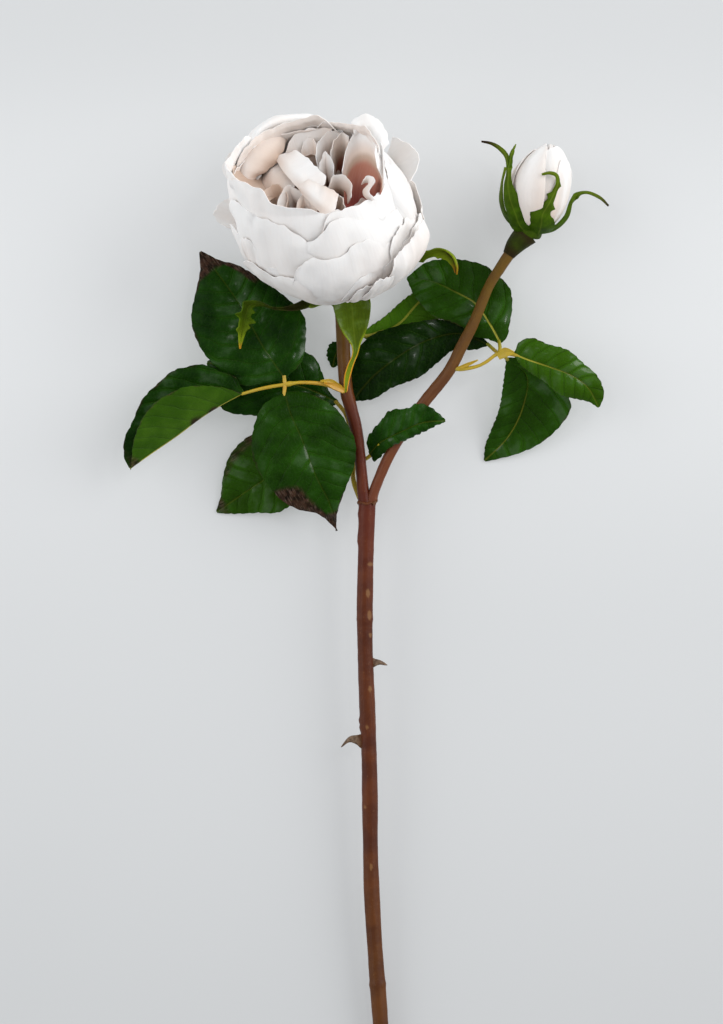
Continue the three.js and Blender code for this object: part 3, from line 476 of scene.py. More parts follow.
def stemTube(build, points, taper, radius, rows, seed, wine, green, sides, pink=0.0):
    places = np.linspace(0, 1, rows)
    path = rail(points, places)
    path[:, 0] += 0.25 * np.sin(path[:, 1] / 17 + seed)
    y = path[:, 1:2]
    angle = np.linspace(0, 2 * math.pi, sides, endpoint=False)[None, :]
    ridge = 0.05 * np.sin(5 * angle + y / 23 + seed) + 0.04 * np.sin(3 * angle + seed * 2)
    radii = (shares(taper, places) * radius)[:, None] * np.ones((1, sides)) + ridge
    for ringY, lift in stemShape["rings"]:
        radii += lift * np.exp(-((y - ringY) / 1.1) ** 2)
    radii += 0.09 * np.sin(y / 6.3 + seed)
    around = path[:, None] + np.stack([np.cos(angle) * radii, 0 * radii, np.sin(angle) * radii], axis=-1)
    radii = radii + 0.1 * ripple(around, 3.2, seed)
    for bumpX, bumpY, lift, tall in stemShape["bumps"]:
        near = ((around[..., 0] - bumpX) / 1.1) ** 2 + ((around[..., 1] - bumpY) / tall) ** 2
        radii = radii + lift * np.exp(-near) * (around[..., 2] > path[:, 2:3] - 1.5)
    mark = np.zeros(radii.shape)
    for markX, markY, tall, wide in stemShape["marks"]:
        near = ((around[..., 0] - markX) / wide) ** 2 + ((around[..., 1] - markY) / tall) ** 2
        mark = np.maximum(mark, np.exp(-near ** 2) * (around[..., 2] > path[:, 2:3]))
    build.tube(path, radii, sides, wine=wine(y), green=green(y), mark=mark, gray=0.0, pink=pink)


def thorn(build, base, bend, tip, tall, wide, seed):
    # a flattened hooked cone with a long foot on the stem
    rows, sides = 22, 20
    share = np.linspace(0, 1, rows)
    path = rail([base, bend, tip], share)
    slim = (1 - share) ** 0.85 * (1 - 0.35 * np.sin(math.pi * share)) + 0.02
    angle = np.linspace(0, 2 * math.pi, sides, endpoint=False)
    ring = np.stack([0 * angle, np.cos(angle) * tall, np.sin(angle) * wide], axis=-1)
    grid = path[:, None] + ring[None] * slim[:, None, None]
    grid = grid + 0.12 * ripple(grid, 1.8, seed)[..., None] * (1 - share)[:, None, None]
    faces = ringFaces(rows, sides)[2]
    if tip[0] > base[0]:
        faces = [face[::-1] for face in faces]
    gray = np.repeat(smoothstep(0.0, 0.35, share), sides)
    build.add(grid.reshape(-1, 3), faces, {"gray": gray, "wine": 0.3, "green": 0.2,
                                           "alongMm": np.repeat(share * 8, sides), "mark": 0.0})


stemBuild = Build()
for limb in stemLimbs.values():
    stemTube(stemBuild, **limb)
# the slanted cut: whatever lies beyond its plane slides back along the stem
cutAt, cutNormal = np.array(stemShape["cutPoint"]), np.array(stemShape["cutNormal"])
mainPoints = np.array(stemLimbs["main"]["points"])
slide = unit(mainPoints[1] - mainPoints[0])
beyond = (stemBuild.points[0] - cutAt) @ cutNormal
stemBuild.points[0] = (stemBuild.points[0]
                       + np.where(beyond < 0, -beyond / (slide @ cutNormal), 0)[:, None] * slide)
# the ridge round the fork, and the flap beside it
turn = np.linspace(0, 2 * math.pi, 61)
wobble = 0.25 * np.sin(3 * turn) + 0.12 * np.sin(7 * turn)
(forkX, forkY, forkZ), forkRadius = stemShape["fork"], stemShape["forkRadius"]
ridge = np.stack([forkX + forkRadius * np.cos(turn), forkY + wobble,
                  forkZ + forkRadius * np.sin(turn)], axis=-1)
stemBuild.tube(ridge, 0.52 + 0.1 * np.sin(5 * turn), 12, wine=0.8, green=0.2, mark=0.35, gray=0.0)
share = np.linspace(0, 1, 8)
stemBuild.tube(rail(stemShape["flap"], share), shares([0.7, 0.6, 0.2], share), 10,
               wine=0.7, green=0.3, mark=0.3, gray=0.2)
for parts in stemShape["thorns"]:
    thorn(stemBuild, **parts)
stemBuild.finish("stem_wood", "stem", "bark", barkLook, 60)
print("stem")


# leaves: thicknesses in mm, rows of a tooth, and columns from the midrib to the margin
leafDetail = {
    "thick": 0.42, "lowest": 0.25, "stalkHalf": 0.5, "stalkSides": 14, "stipuleThick": 0.3,
    "firstTooth": 0.035, "toothPoint": 0.72, "toothRows": (0.0, 0.26, 0.52, 0.72, 0.84),
    "columns": (0, 0.03, 0.09, 0.18, 0.28, 0.38, 0.48, 0.58, 0.68, 0.78, 0.87, 0.94, 1.0),
}


def toothed(teeth):
    # places down the midrib, and how far the margin is bitten in at each
    first, point = leafDetail["firstTooth"], leafDetail["toothPoint"]
    pitch = (1 - 2 * first) / teeth
    t, bites = [0.0, first * 0.5], [0.0, 0.0]
    for tooth in range(teeth):
        for part in leafDetail["toothRows"]:
            t.append(first + pitch * (tooth + part))
            bites.append(1 - part / point if part < point else (part - point) / (1 - point))
    return np.array([*t, 1 - first, 1 - first * 0.5, 1.0]), np.array([*bites, 0.6, 0.3, 0.0])


def stretch(t, start, end):
    # 1 between two places down the midrib, with soft ends
    rise, fall = smoothstep(start - 0.06, start + 0.04, t), 1 - smoothstep(end - 0.03, end + 0.06, t)
    return rise[:, None] * fall[:, None]


def leaflet(build, midrib, left, right, leftRise=0.0, rightRise=0.0, bulge=1.2, teeth=15, bite=0.4,
            lit=0.0, ribLight=0.6, burn=(), ribBurn=(), veinStep=6.4, seed=1.0, curl=0.8, wave=0.5, upper=1,
            relief=1.0):
    t, bites = toothed(teeth)
    middle = rail(midrib, t)
    ahead = unit(np.gradient(middle, axis=0))
    swell = np.sin(math.pi * t)
    columns = np.array([-c for c in leafDetail["columns"][:0:-1]] + list(leafDetail["columns"]))
    grid = np.zeros((len(t), len(columns), 3))
    sideways = unit(np.stack([ahead[:, 1], -ahead[:, 0], 0 * t], axis=-1))
    for sign, outline, rise in ((-1, left, leftRise), (1, right, rightRise)):
        ends = [midrib[0][:2], *outline, midrib[-1][:2]]
        edge = rail(ends, t)
        edge = np.column_stack([edge, middle[:, 2] + swell * rise])
        half = np.maximum(np.linalg.norm(edge - middle, axis=1), 0.6)
        uneven = 0.75 + 0.25 * np.sin(np.arange(len(t)) * 1.7 + seed)
        scale = 1 - np.minimum(bite * bites * uneven / half, 0.4)
        for k, c in enumerate(columns):
            if c * sign < 0 or (c == 0 and sign < 0):
                continue
            r = abs(c)
            # the teeth only shape the outer fifth of the blade
            reach = r * (1 + (scale - 1) * smoothstep(0.7, 1.0, r))
            row = middle + (edge - middle) * reach[:, None] + sideways * leafDetail["stalkHalf"] * c
            row[:, 2] += bulge * 4 * r * (1 - r) * swell
            row[:, 2] -= curl * r ** 5 * swell
            row[:, 2] += wave * r ** 2 * np.sin(t * 15 + sign * 1.3 + seed) * swell
            grid[:, k] = row
    along = distances(middle)
    offRib = np.linalg.norm(grid - middle[:, None], axis=2)
    veinPhase = along[:, None] - offRib * 0.62 - offRib ** 2 * 0.012
    veinPhase = veinPhase + 2.2 * ripple(grid, 12.0, seed + 6) + 0.6 * ripple(grid, 4.0, seed + 7)
    veinPhase = veinPhase / veinStep + (columns > 0)[None] * 0.46
    quilt = np.abs(veinPhase - np.floor(veinPhase) - 0.5) * 2
    edgeFade = (1 - np.abs(columns) ** 6)[None] * swell[:, None] ** 0.5
    grid[..., 2] += upper * relief * 0.36 * (quilt ** 0.8 - 0.6) * edgeFade * smoothstep(0.5, 3, offRib)
    grid[..., 2] -= upper * 0.35 * np.exp(-(offRib / 0.8) ** 2) * swell[:, None]
    grid[..., 2] += (0.35 * ripple(grid, 9.0, seed) + 0.5 * ripple(grid, 22.0, seed + 1)) * edgeFade
    grid[..., 2] = np.maximum(grid[..., 2], leafDetail["lowest"])
    # scorched margins and ribs: from and to down the midrib, side, reach or width, and strength
    s = columns[None] * np.ones((len(t), 1))
    spots = ripple(grid, 6.0, seed + 3)
    margin = smoothstep(0.9, 1.0, np.abs(s)) * 0.42
    scorch = np.maximum(0, margin + spots * 0.3 * (np.abs(s) > 0.8))
    for start, end, side, inward, strength in burn:
        reachIn = smoothstep(1 - inward * 1.5, 1 - inward * 0.5, s * side if side else np.abs(s) + 2)
        scorch = np.maximum(scorch, stretch(t, start, end) * reachIn * (strength + 0.35 * spots))
    for start, end, wide, strength in ribBurn:
        near = np.exp(-(s / wide) ** 2)
        scorch = np.maximum(scorch, stretch(t, start, end) * near * (strength + 0.6 * spots))
    ribTone = shares(ribLight, t)[:, None] if isinstance(ribLight, tuple) else ribLight
    # the face with its normal up is the upper side; a leaflet seen from below has them swapped
    up = np.median(gridNormals(grid)[..., 2]) > 0
    if up != (upper > 0):
        grid, s, scorch, veinPhase = grid[:, ::-1], s[:, ::-1], scorch[:, ::-1], veinPhase[:, ::-1]
    build.sheet(grid, leafDetail["thick"], lit=lit, burn=scorch, ribLight=ribTone, veinStep=veinStep,
                veinPhase=veinPhase)


def stalk(build, points, radii, ripe, rows=36, knots=()):
    share = np.linspace(0, 1, rows)
    path = rail(points, share)
    size = shares(radii, share)
    for spot, lift in knots:
        size = size + lift * np.exp(-((share - spot) / 0.035) ** 2)
    tone = shares(ripe, share)[:, None] + 0.12 * ripple(path, 5.0, 2.0)[:, None]
    build.tube(path, size, leafDetail["stalkSides"], ripe=tone)


def stipule(build, points, widths, ripe):
    share = np.linspace(0, 1, 14)
    path = rail(points, share)
    ahead = unit(np.gradient(path, axis=0))
    side = unit(np.cross(ahead, [0, 0.1, 1.0]))
    across = np.linspace(-1, 1, 7)
    grid = path[:, None] + side[:, None] * (across[None, :] * shares(widths, share)[:, None])[..., None]
    grid[..., 2] += 0.4 * across[None] ** 2
    build.sheet(grid, leafDetail["stipuleThick"], ripe=ripe)


leftFront = {
    "stalks": [
        {"points": [(-6.6, 48.2, 15), (-10, 49.4, 16.8), (-14.2, 51, 17.8), (-24.2, 51.8, 19.6),
             (-30.6, 51, 20.2), (-39.4, 49.5, 20), (-48, 47.2, 18.6)],
         "radii": [1.1, 0.8, 0.66, 0.72, 0.6], "ripe": (0.5, 0.7, 0.55, 0.65, 0.5), "knots": [(0.55, 0.45)]},
        {"points": [(-30.6, 51, 20.2), (-31, 54.6, 20.2)], "radii": [0.8, 0.7], "ripe": (0.7, 0.4),
         "rows": 10},
        {"points": [(-30.6, 51, 20.2), (-31, 46.4, 20.4)], "radii": [0.8, 0.7], "ripe": (0.7, 0.5),
         "rows": 10},
    ],
    "blades": [
        {"midrib": [(-30.6, 53.2, 20.2), (-39.8, 66.8, 18.4), (-48.6, 82.8, 16), (-58.6, 96.8, 13.6),
             (-64.6, 104.2, 12)],
         "left": [(-39.4, 51.6), (-47.8, 51), (-57.8, 58.4), (-63.1, 64.4), (-67, 72.8), (-67.7, 79.7),
             (-65.8, 88.9), (-64.2, 97.3)],
         "right": [(-24.2, 60), (-22.6, 70.4), (-23.4, 78.2), (-29.6, 84.8), (-39.8, 92.4), (-50.2, 98.6),
             (-57, 100.4)],
         "leftRise": -1.5, "rightRise": -2, "bulge": 1.4, "teeth": 17, "seed": 1.3, "lit": -0.08,
         "ribLight": 0.03, "burn": [(0.86, 1, 0, 1, 0.95), (0.66, 1, 1, 0.3, 0.9), (0.8, 1, -1, 0.12, 0.7)]},
        {"midrib": [(-30.6, 48, 20.4), (-28.6, 40, 22), (-24.2, 30, 22.6), (-18, 14, 21.4),
             (-12.6, 3.2, 18.6), (-9.9, -7.5, 15.6)],
         "left": [(-39.4, 43), (-43.2, 35.3), (-44.4, 28.4), (-44, 21.6), (-41, 14.8), (-36.3, 8.6),
             (-31.8, 4), (-25.6, 0.8), (-18, -0.8)],
         "right": [(-25.6, 48.4), (-18, 46.8), (-10.3, 42.2), (-5, 35.3), (-1.9, 27.7), (-2.3, 19.3),
             (-5.8, 10.1), (-9.2, 0.1)],
         "leftRise": -2.5, "rightRise": -0.6, "bulge": 1.6, "teeth": 16, "seed": 2.1, "lit": 0.04,
         "ribLight": 0.03,
         "burn": [(0.88, 1, 0, 1, 0.9), (0.8, 1, 1, 0.14, 0.85), (0.62, 1, -1, 0.55, 0.95)]},
        {"midrib": [(-47, 47.6, 18.8), (-57.4, 42, 16.6), (-64.6, 37.4, 15.8), (-73.8, 30.5, 15.2),
             (-83.8, 23.6, 15.2), (-92.6, 17.3, 15.6)],
         "left": [(-56, 50.4), (-62.3, 51), (-71.9, 50.2), (-76.2, 48.1), (-81.5, 45.2), (-87.2, 39),
             (-91.4, 29)],
         "right": [(-50.4, 53.8), (-55.4, 55.6), (-63.8, 58.8), (-70, 57.7), (-75, 56.4), (-80.3, 52),
             (-87.2, 45.2), (-91.4, 36), (-94.8, 28.4), (-94.6, 20.6)],
         "leftRise": 12, "rightRise": 1.5, "bulge": 0.6, "teeth": 15, "seed": 3.7, "lit": -0.2,
         "ribLight": 0.9, "curl": 0.2, "relief": 0.45, "burn": [(0.9, 1, 0, 1, 0.5)],
         "ribBurn": [(0.22, 0.44, 0.16, 0.7), (0.55, 0.7, 0.08, 0.5)]},
    ],
    "stipules": [
        {"points": [(-7, 48.4, 17), (-11, 50.4, 18.6), (-15, 51.6, 19.4)], "widths": [1, 1.3, 0.2],
         "ripe": 0.75},
        {"points": [(-8, 49.6, 17), (-12.6, 52.2, 18.4), (-16.4, 52.4, 19.6)], "widths": [0.8, 1.1, 0.2],
         "ripe": 0.6},
    ],
}
leftBack = {
    "stalks": [
        {"points": [(-0.6, 5.6, 13.4), (-3.2, 12.8, 11), (-3.2, 22, 10.2), (-4.2, 32, 9.8),
             (-6.6, 39.6, 9.6), (-10.6, 44.6, 9.6)],
         "radii": [1.2, 0.95, 0.9, 0.85, 0.8], "ripe": (0.55, 0.5, 0.4)},
        {"points": [(-3.4, 25, 10), (-9, 27.6, 9.6), (-16, 26.4, 9)], "radii": [0.85, 0.75, 0.7],
         "ripe": (0.5, 0.3), "rows": 18},
        {"points": [(-3.2, 20.6, 10.2), (0.6, 20.8, 10.8), (4.4, 23.4, 13.6), (7.4, 27.2, 18)],
         "radii": [0.85, 0.8, 0.8, 0.75], "ripe": (0.5, 0.35), "rows": 22},
    ],
    "blades": [
        {"midrib": [(-9.4, 44, 9.6), (-22, 49.6, 10.4), (-36.6, 53.6, 10.4), (-50, 57, 10.6),
             (-61.8, 60, 11.2)],
         "left": [(-16.6, 39.4), (-28.6, 37.4), (-41.4, 38.9), (-54.6, 41), (-60.6, 48.8)],
         "right": [(-13, 47.6), (-15.4, 54), (-18.7, 61.2), (-23, 63.8), (-32.6, 66.4), (-44.6, 66.4),
             (-54.6, 63.8)],
         "leftRise": -1, "rightRise": 0, "bulge": 0.8, "teeth": 15, "seed": 4.4, "lit": 0, "ribLight": 0.1},
        {"midrib": [(-14.6, 26.8, 9), (-30, 18.6, 7), (-45, 9, 3.6), (-58, 0, 0.5)],
         "left": [(-16.6, 16.8), (-24.6, 6.8), (-33, 0.4), (-42.2, 0), (-52.6, -0.4)],
         "right": [(-22.6, 32.6), (-34, 32.8), (-44.7, 30.2), (-52.6, 22.2), (-55.2, 14), (-56.2, 6)],
         "leftRise": -0.6, "rightRise": 0.8, "bulge": 1, "teeth": 15, "seed": 5.2, "lit": 0.16, "curl": 0.1,
         "ribLight": 0.06, "burn": [(0.4, 1, 1, 0.26, 0.46), (0.9, 1, 0, 1, 0.6)]},
        {"midrib": [(3.4, 23.2, 14), (7.3, 27.6, 18.6), (11.3, 29.9, 20.2), (16.6, 32.4, 20.8),
             (24, 35.6, 20.8), (33.5, 36.6, 20)],
         "left": [(2.4, 28.9), (4.4, 32.2), (8, 36.2), (11.3, 40.2), (18.6, 41.2), (22.6, 43.2),
             (28.2, 41.2)],
         "right": [(4.6, 20.4), (7.4, 22.3), (10.6, 25.8), (18.2, 29.4), (25.2, 32.6), (30, 35)],
         "leftRise": 1, "rightRise": -0.4, "bulge": 0.7, "teeth": 11, "bite": 0.7, "seed": 6.1, "lit": -0.05,
         "veinStep": 4.6, "ribLight": 0.06},
    ],
}
rightSide = {
    "stalks": [
        {"points": [(37.2, 57.4, 17.4), (40.6, 57.2, 18.6), (46.6, 58.4, 19), (49.8, 60, 19),
             (55.4, 63.6, 19), (63.6, 62.4, 20.4)],
         "radii": [1, 0.75, 0.66, 0.7, 1, 0.7], "ripe": (0.4, 0.5, 0.6, 0.5, 0.4)},
        {"points": [(55.2, 63.4, 19), (55.4, 66, 16.8), (55, 68.6, 14.6)], "radii": [0.8, 0.7],
         "ripe": (0.5, 0.2), "rows": 12},
        {"points": [(55, 63.4, 19), (53.4, 64.6, 14.6), (50.4, 67.4, 11.4)], "radii": [0.8, 0.7],
         "ripe": (0.5, 0.2), "rows": 12},
        {"points": [(56.4, 63.2, 19), (58.6, 60.8, 17)], "radii": [0.8, 0.7], "ripe": (0.5, 0.2), "rows": 10},
    ],
    "blades": [
        {"midrib": [(55.6, 67.6, 15), (51.4, 75.2, 13.4), (45.4, 83.6, 13), (38.2, 87.8, 12.4),
             (28, 92.4, 11.2), (18.2, 93.6, 10)],
         "left": [(50.6, 69.4), (45.4, 70.6), (41, 74), (35.4, 76.6), (29.8, 78.2), (25.4, 82), (21, 87.3)],
         "right": [(57.8, 69.4), (59, 75.2), (60, 82), (59.4, 88.6), (56.2, 92.8), (49.8, 98), (42, 100.4),
             (34.6, 101), (26, 99.6)],
         "leftRise": -0.6, "rightRise": -1, "bulge": 0.5, "teeth": 15, "seed": 7.9, "lit": 0.1,
         "ribLight": (0.7, 0.6, 0.45, 0.1, 0.02, 0), "curl": 0.3},
        {"midrib": [(50.8, 67, 11.4), (39.4, 71.4, 10), (25.4, 68.4, 9.2), (13, 61, 8.4), (4, 53.6, 7.8),
             (-3.4, 44.6, 7.6)],
         "left": [(45.4, 65.2), (37.2, 65.4), (30.2, 60.1), (23.4, 54.6), (11.8, 50), (4.2, 45.4)],
         "right": [(46, 72), (39.4, 75.6), (31, 76.8), (21.4, 75.6), (13, 73.8), (3.8, 70.2), (-2.4, 63),
             (-4.8, 54)],
         "leftRise": 0.4, "rightRise": -1, "bulge": 0.5, "teeth": 16, "seed": 8.3, "lit": -0.65,
         "ribLight": 0.03, "curl": 0.3},
        {"midrib": [(58, 61.4, 17.4), (66, 54.6, 14.6), (64.6, 42, 9), (58.6, 30, 3.4), (49.4, 20.6, 0.5)],
         "left": [(64, 61.4), (72, 57), (80, 50.4), (83.6, 42.6), (79, 34.4), (70, 27), (62, 23.6),
             (55, 21.8)],
         "right": [(57.4, 55.4), (56.8, 49), (55.4, 40.8), (52.2, 32.5), (49.8, 26)], "leftRise": 0.6,
         "rightRise": 0.6, "bulge": 0.9, "teeth": 15, "seed": 9.5, "lit": 0.1,
         "ribLight": (0, 0.02, 0.08, 0.22, 0.28, 0.22, 0.1), "curl": 0.1},
        {"midrib": [(61, 63.2, 20), (67.4, 60.6, 22), (75.2, 58, 23), (84, 54.6, 22.4), (90.4, 50, 20),
             (95, 42, 16.6)],
         "left": [(63, 67.6), (68.2, 69.2), (74, 66.8), (82.2, 64.4), (88.6, 59), (94.4, 53.6), (96.6, 47)],
         "right": [(64.4, 58.6), (68.8, 55.4), (73.8, 52.2), (79, 47.6), (86, 45.6), (91.6, 44.2)],
         "leftRise": 0, "rightRise": -1.4, "bulge": 0.9, "teeth": 14, "seed": 10.2, "lit": 0.3,
         "ribLight": (0.9, 0.85, 0.5, 0.24, 0.16, 0.1, 0.06), "veinStep": 5.2,
         "ribBurn": [(0.5, 0.95, 0.05, 0.3)]},
    ],
    "stipules": [
        {"points": [(38.4, 57.2, 18.6), (43, 59.2, 19.8), (46.6, 60.8, 20)], "widths": [0.7, 0.7, 0.12],
         "ripe": 0.6},
        {"points": [(54.6, 62, 19.6), (57.6, 63.8, 20.6), (61, 63.6, 21)], "widths": [1.2, 2.1, 0.5],
         "ripe": 0.5},
    ],
}
upperBack = {
    "stalks": [
        {"points": [(-7, 70.6, 8), (-3.2, 71, 5.8), (2.6, 70.6, 5), (9, 72.6, 4.6)],
         "radii": [1, 0.85, 0.75], "ripe": (0.3, 0.1)},
        {"points": [(-3.6, 70.9, 5.8), (-8.6, 67.6, 3.2)], "radii": [0.75, 0.7], "ripe": (0.3, 0.1),
         "rows": 12},
    ],
    "blades": [
        {"midrib": [(1, 70.2, 5.2), (8, 71.8, 4.4), (15.4, 75.8, 4.2), (21.4, 82.4, 4.4), (30.6, 92, 5.6)],
         "left": [(2.4, 73), (9.4, 78), (20.6, 87.4)], "right": [(8, 66), (19, 67.6), (28, 74), (33, 84)],
         "leftRise": 0.8, "rightRise": -0.6, "bulge": 0.4, "teeth": 13, "seed": 11.1, "lit": 0.25,
         "ribLight": 0.5, "upper": -1, "curl": 0.2, "relief": 0.7},
        {"midrib": [(-7.4, 68.6, 3.6), (-10, 64, 2.6), (-11.6, 58, 2)], "left": [(-5.6, 64.6), (-7.8, 60)],
         "right": [(-12, 67.6), (-13.6, 62.4)], "bulge": 0.3, "teeth": 7, "bite": 0.7, "seed": 12.4,
         "veinStep": 3.4, "curl": 0.2, "wave": 0.2, "ribLight": 0.1},
    ],
}
for nodeName, leaf in (("leaf_left_front", leftFront), ("leaf_left_back", leftBack),
                       ("leaf_right", rightSide), ("leaf_upper_back", upperBack)):
    blades, stalks = Build(), Build()
    for parts in leaf["blades"]:
        leaflet(blades, **parts)
    for parts in leaf["stalks"]:
        stalk(stalks, **parts)
    for parts in leaf.get("stipules", []):
        stipule(stalks, **parts)
    blades.finish(nodeName + "_blades", nodeName, "leaf", leafLook)
    stalks.finish(nodeName + "_stalks", nodeName, "leaf", stalkLook, 60)
print("leaves")


# the bloom's frame, and the cup that its outer petals lie on, as radius and height
def standFrame(base, axis):
    # a bloom that grows from base along axis: its right, its rear, and the way to a point in it
    right = unit(np.array([axis[1], -axis[0], 0.0]))
    rear = np.cross(axis, right)

    def at(radius, angle, height):
        # angle in degrees from the right towards the rear
        turn = np.radians(angle)
        return (base + (radius * np.cos(turn))[..., None] * right
                + (radius * np.sin(turn))[..., None] * rear + np.asarray(height)[..., None] * axis)
    return right, rear, at


bloomBase = np.array([-9.8, 90.5, 15.5])
bloomLean, bloomRise = math.radians(12), math.radians(38)
bloomAxis = np.array([-math.sin(bloomLean) * math.cos(bloomRise), math.cos(bloomLean) * math.cos(bloomRise),
                      math.sin(bloomRise)])
bloomRight, bloomRear, inBloom = standFrame(bloomBase, bloomAxis)
cupProfile = [(3, 0.4), (15, 4.6), (26, 10), (35.5, 19.5), (41.5, 29), (43, 37), (42.4, 46), (40.6, 54),
              (38, 60.5)]
aboveRim = 40  # mm that a petal rises for each unit of u past the end of the profile
# the bloom as the camera sees it: its base in pixels, its directions across the photo, and their area
bloomPhoto = {"base": (337.0, 285.75), "axis": (0.1638, 0.7708), "right": (0.978, 0.208),
              "front": (0.128, 0.602), "area": 0.6154}


def spline(points, u):
    # uniform Catmull-Rom by index, at shares of the list
    pts = np.asarray(points, float)
    where = np.clip(u, 0, 1) * (len(pts) - 1)
    low = np.minimum(np.floor(where).astype(int), len(pts) - 2)
    f = (where - low)[..., None]
    p0 = pts[np.where(low == 0, low, low - 1)]
    p1, p2 = pts[low], pts[low + 1]
    p3 = pts[np.where(low > len(pts) - 3, len(pts) - 1, np.minimum(low + 2, len(pts) - 1))]
    v0, v1 = (p2 - p0) * 0.5, (p3 - p1) * 0.5
    return (2 * p1 - 2 * p2 + v0 + v1) * f ** 3 + (-3 * p1 + 3 * p2 - 2 * v0 - v1) * f ** 2 + v0 * f + p1


def bloomSpot(px, py, h):
    # the point that the camera sees at a pixel, at height h along the bloom's axis
    (baseX, baseY), (axisX, axisY) = bloomPhoto["base"], bloomPhoto["axis"]
    (rightX, rightY), (frontX, frontY) = bloomPhoto["right"], bloomPhoto["front"]
    a = pixelSize * (px - baseX) + axisX * h
    b = pixelSize * (baseY - py) - axisY * h
    right = (frontY * a + frontX * b) / bloomPhoto["area"]
    front = (rightY * a - rightX * b) / bloomPhoto["area"]
    return bloomBase + right[..., None] * bloomRight - front[..., None] * bloomRear + h[..., None] * bloomAxis


def cupRadius(u, angle, shell):
    # the layers lie close together on the left, and the rim leans that way
    side = np.cos(np.radians(angle))
    left = smoothstep(0.05, 0.9, -side)
    tight = shell - left * (0.05 + (shell - 0.8) * 0.5) + 0.03 * (shell > 0.95) * smoothstep(0.3, 1, side)
    tight = tight - 0.035 * (shell > 0.95) * smoothstep(0.3, 0.9, -np.sin(np.radians(angle)))
    low = np.exp(-((angle % 360 - 320) / 26) ** 2) * smoothstep(0.66, 0.34, u) * (shell > 0.9)
    tight = tight + 0.085 * low
    lean = -(3.0 + 2.0 * left) * np.clip((1.08 - shell) / 0.28, 0, 1) * smoothstep(0.5, 1.0, u) * side
    return spline(cupProfile, np.clip(u, 0, 1))[..., 0] * tight + lean


def cupPlace(px, py, shell, turn, half):
    # where on a shell of the cup a pixel falls, as angle and share of the height
    angles = turn + np.linspace(-half - 24, half + 24, 150)[None, :]
    u = np.linspace(0.02, 1.34, 150)[:, None]
    height = spline(cupProfile, np.clip(u, 0, 1))[..., 1] + np.maximum(u - 1, 0) * aboveRim
    points = inBloom(cupRadius(u, angles, shell), angles, height)
    x, y, _ = place(px, py)
    off = (points[..., 0] - x) ** 2 + (points[..., 1] - y) ** 2 - points[..., 2] * 0.02
    row, column = np.unravel_index(np.argmin(off), off.shape)
    return float(angles[0, column]), float(u[row, 0])


# what a petal has unless its layer says otherwise, and the share of its width that its free edge has
petalDefaults = {"round": 0.13, "ruffle": 1.2, "lip": 0.8, "lean": 2.2, "crease": 0.5, "tuck": 16}
topWidth = 0.897


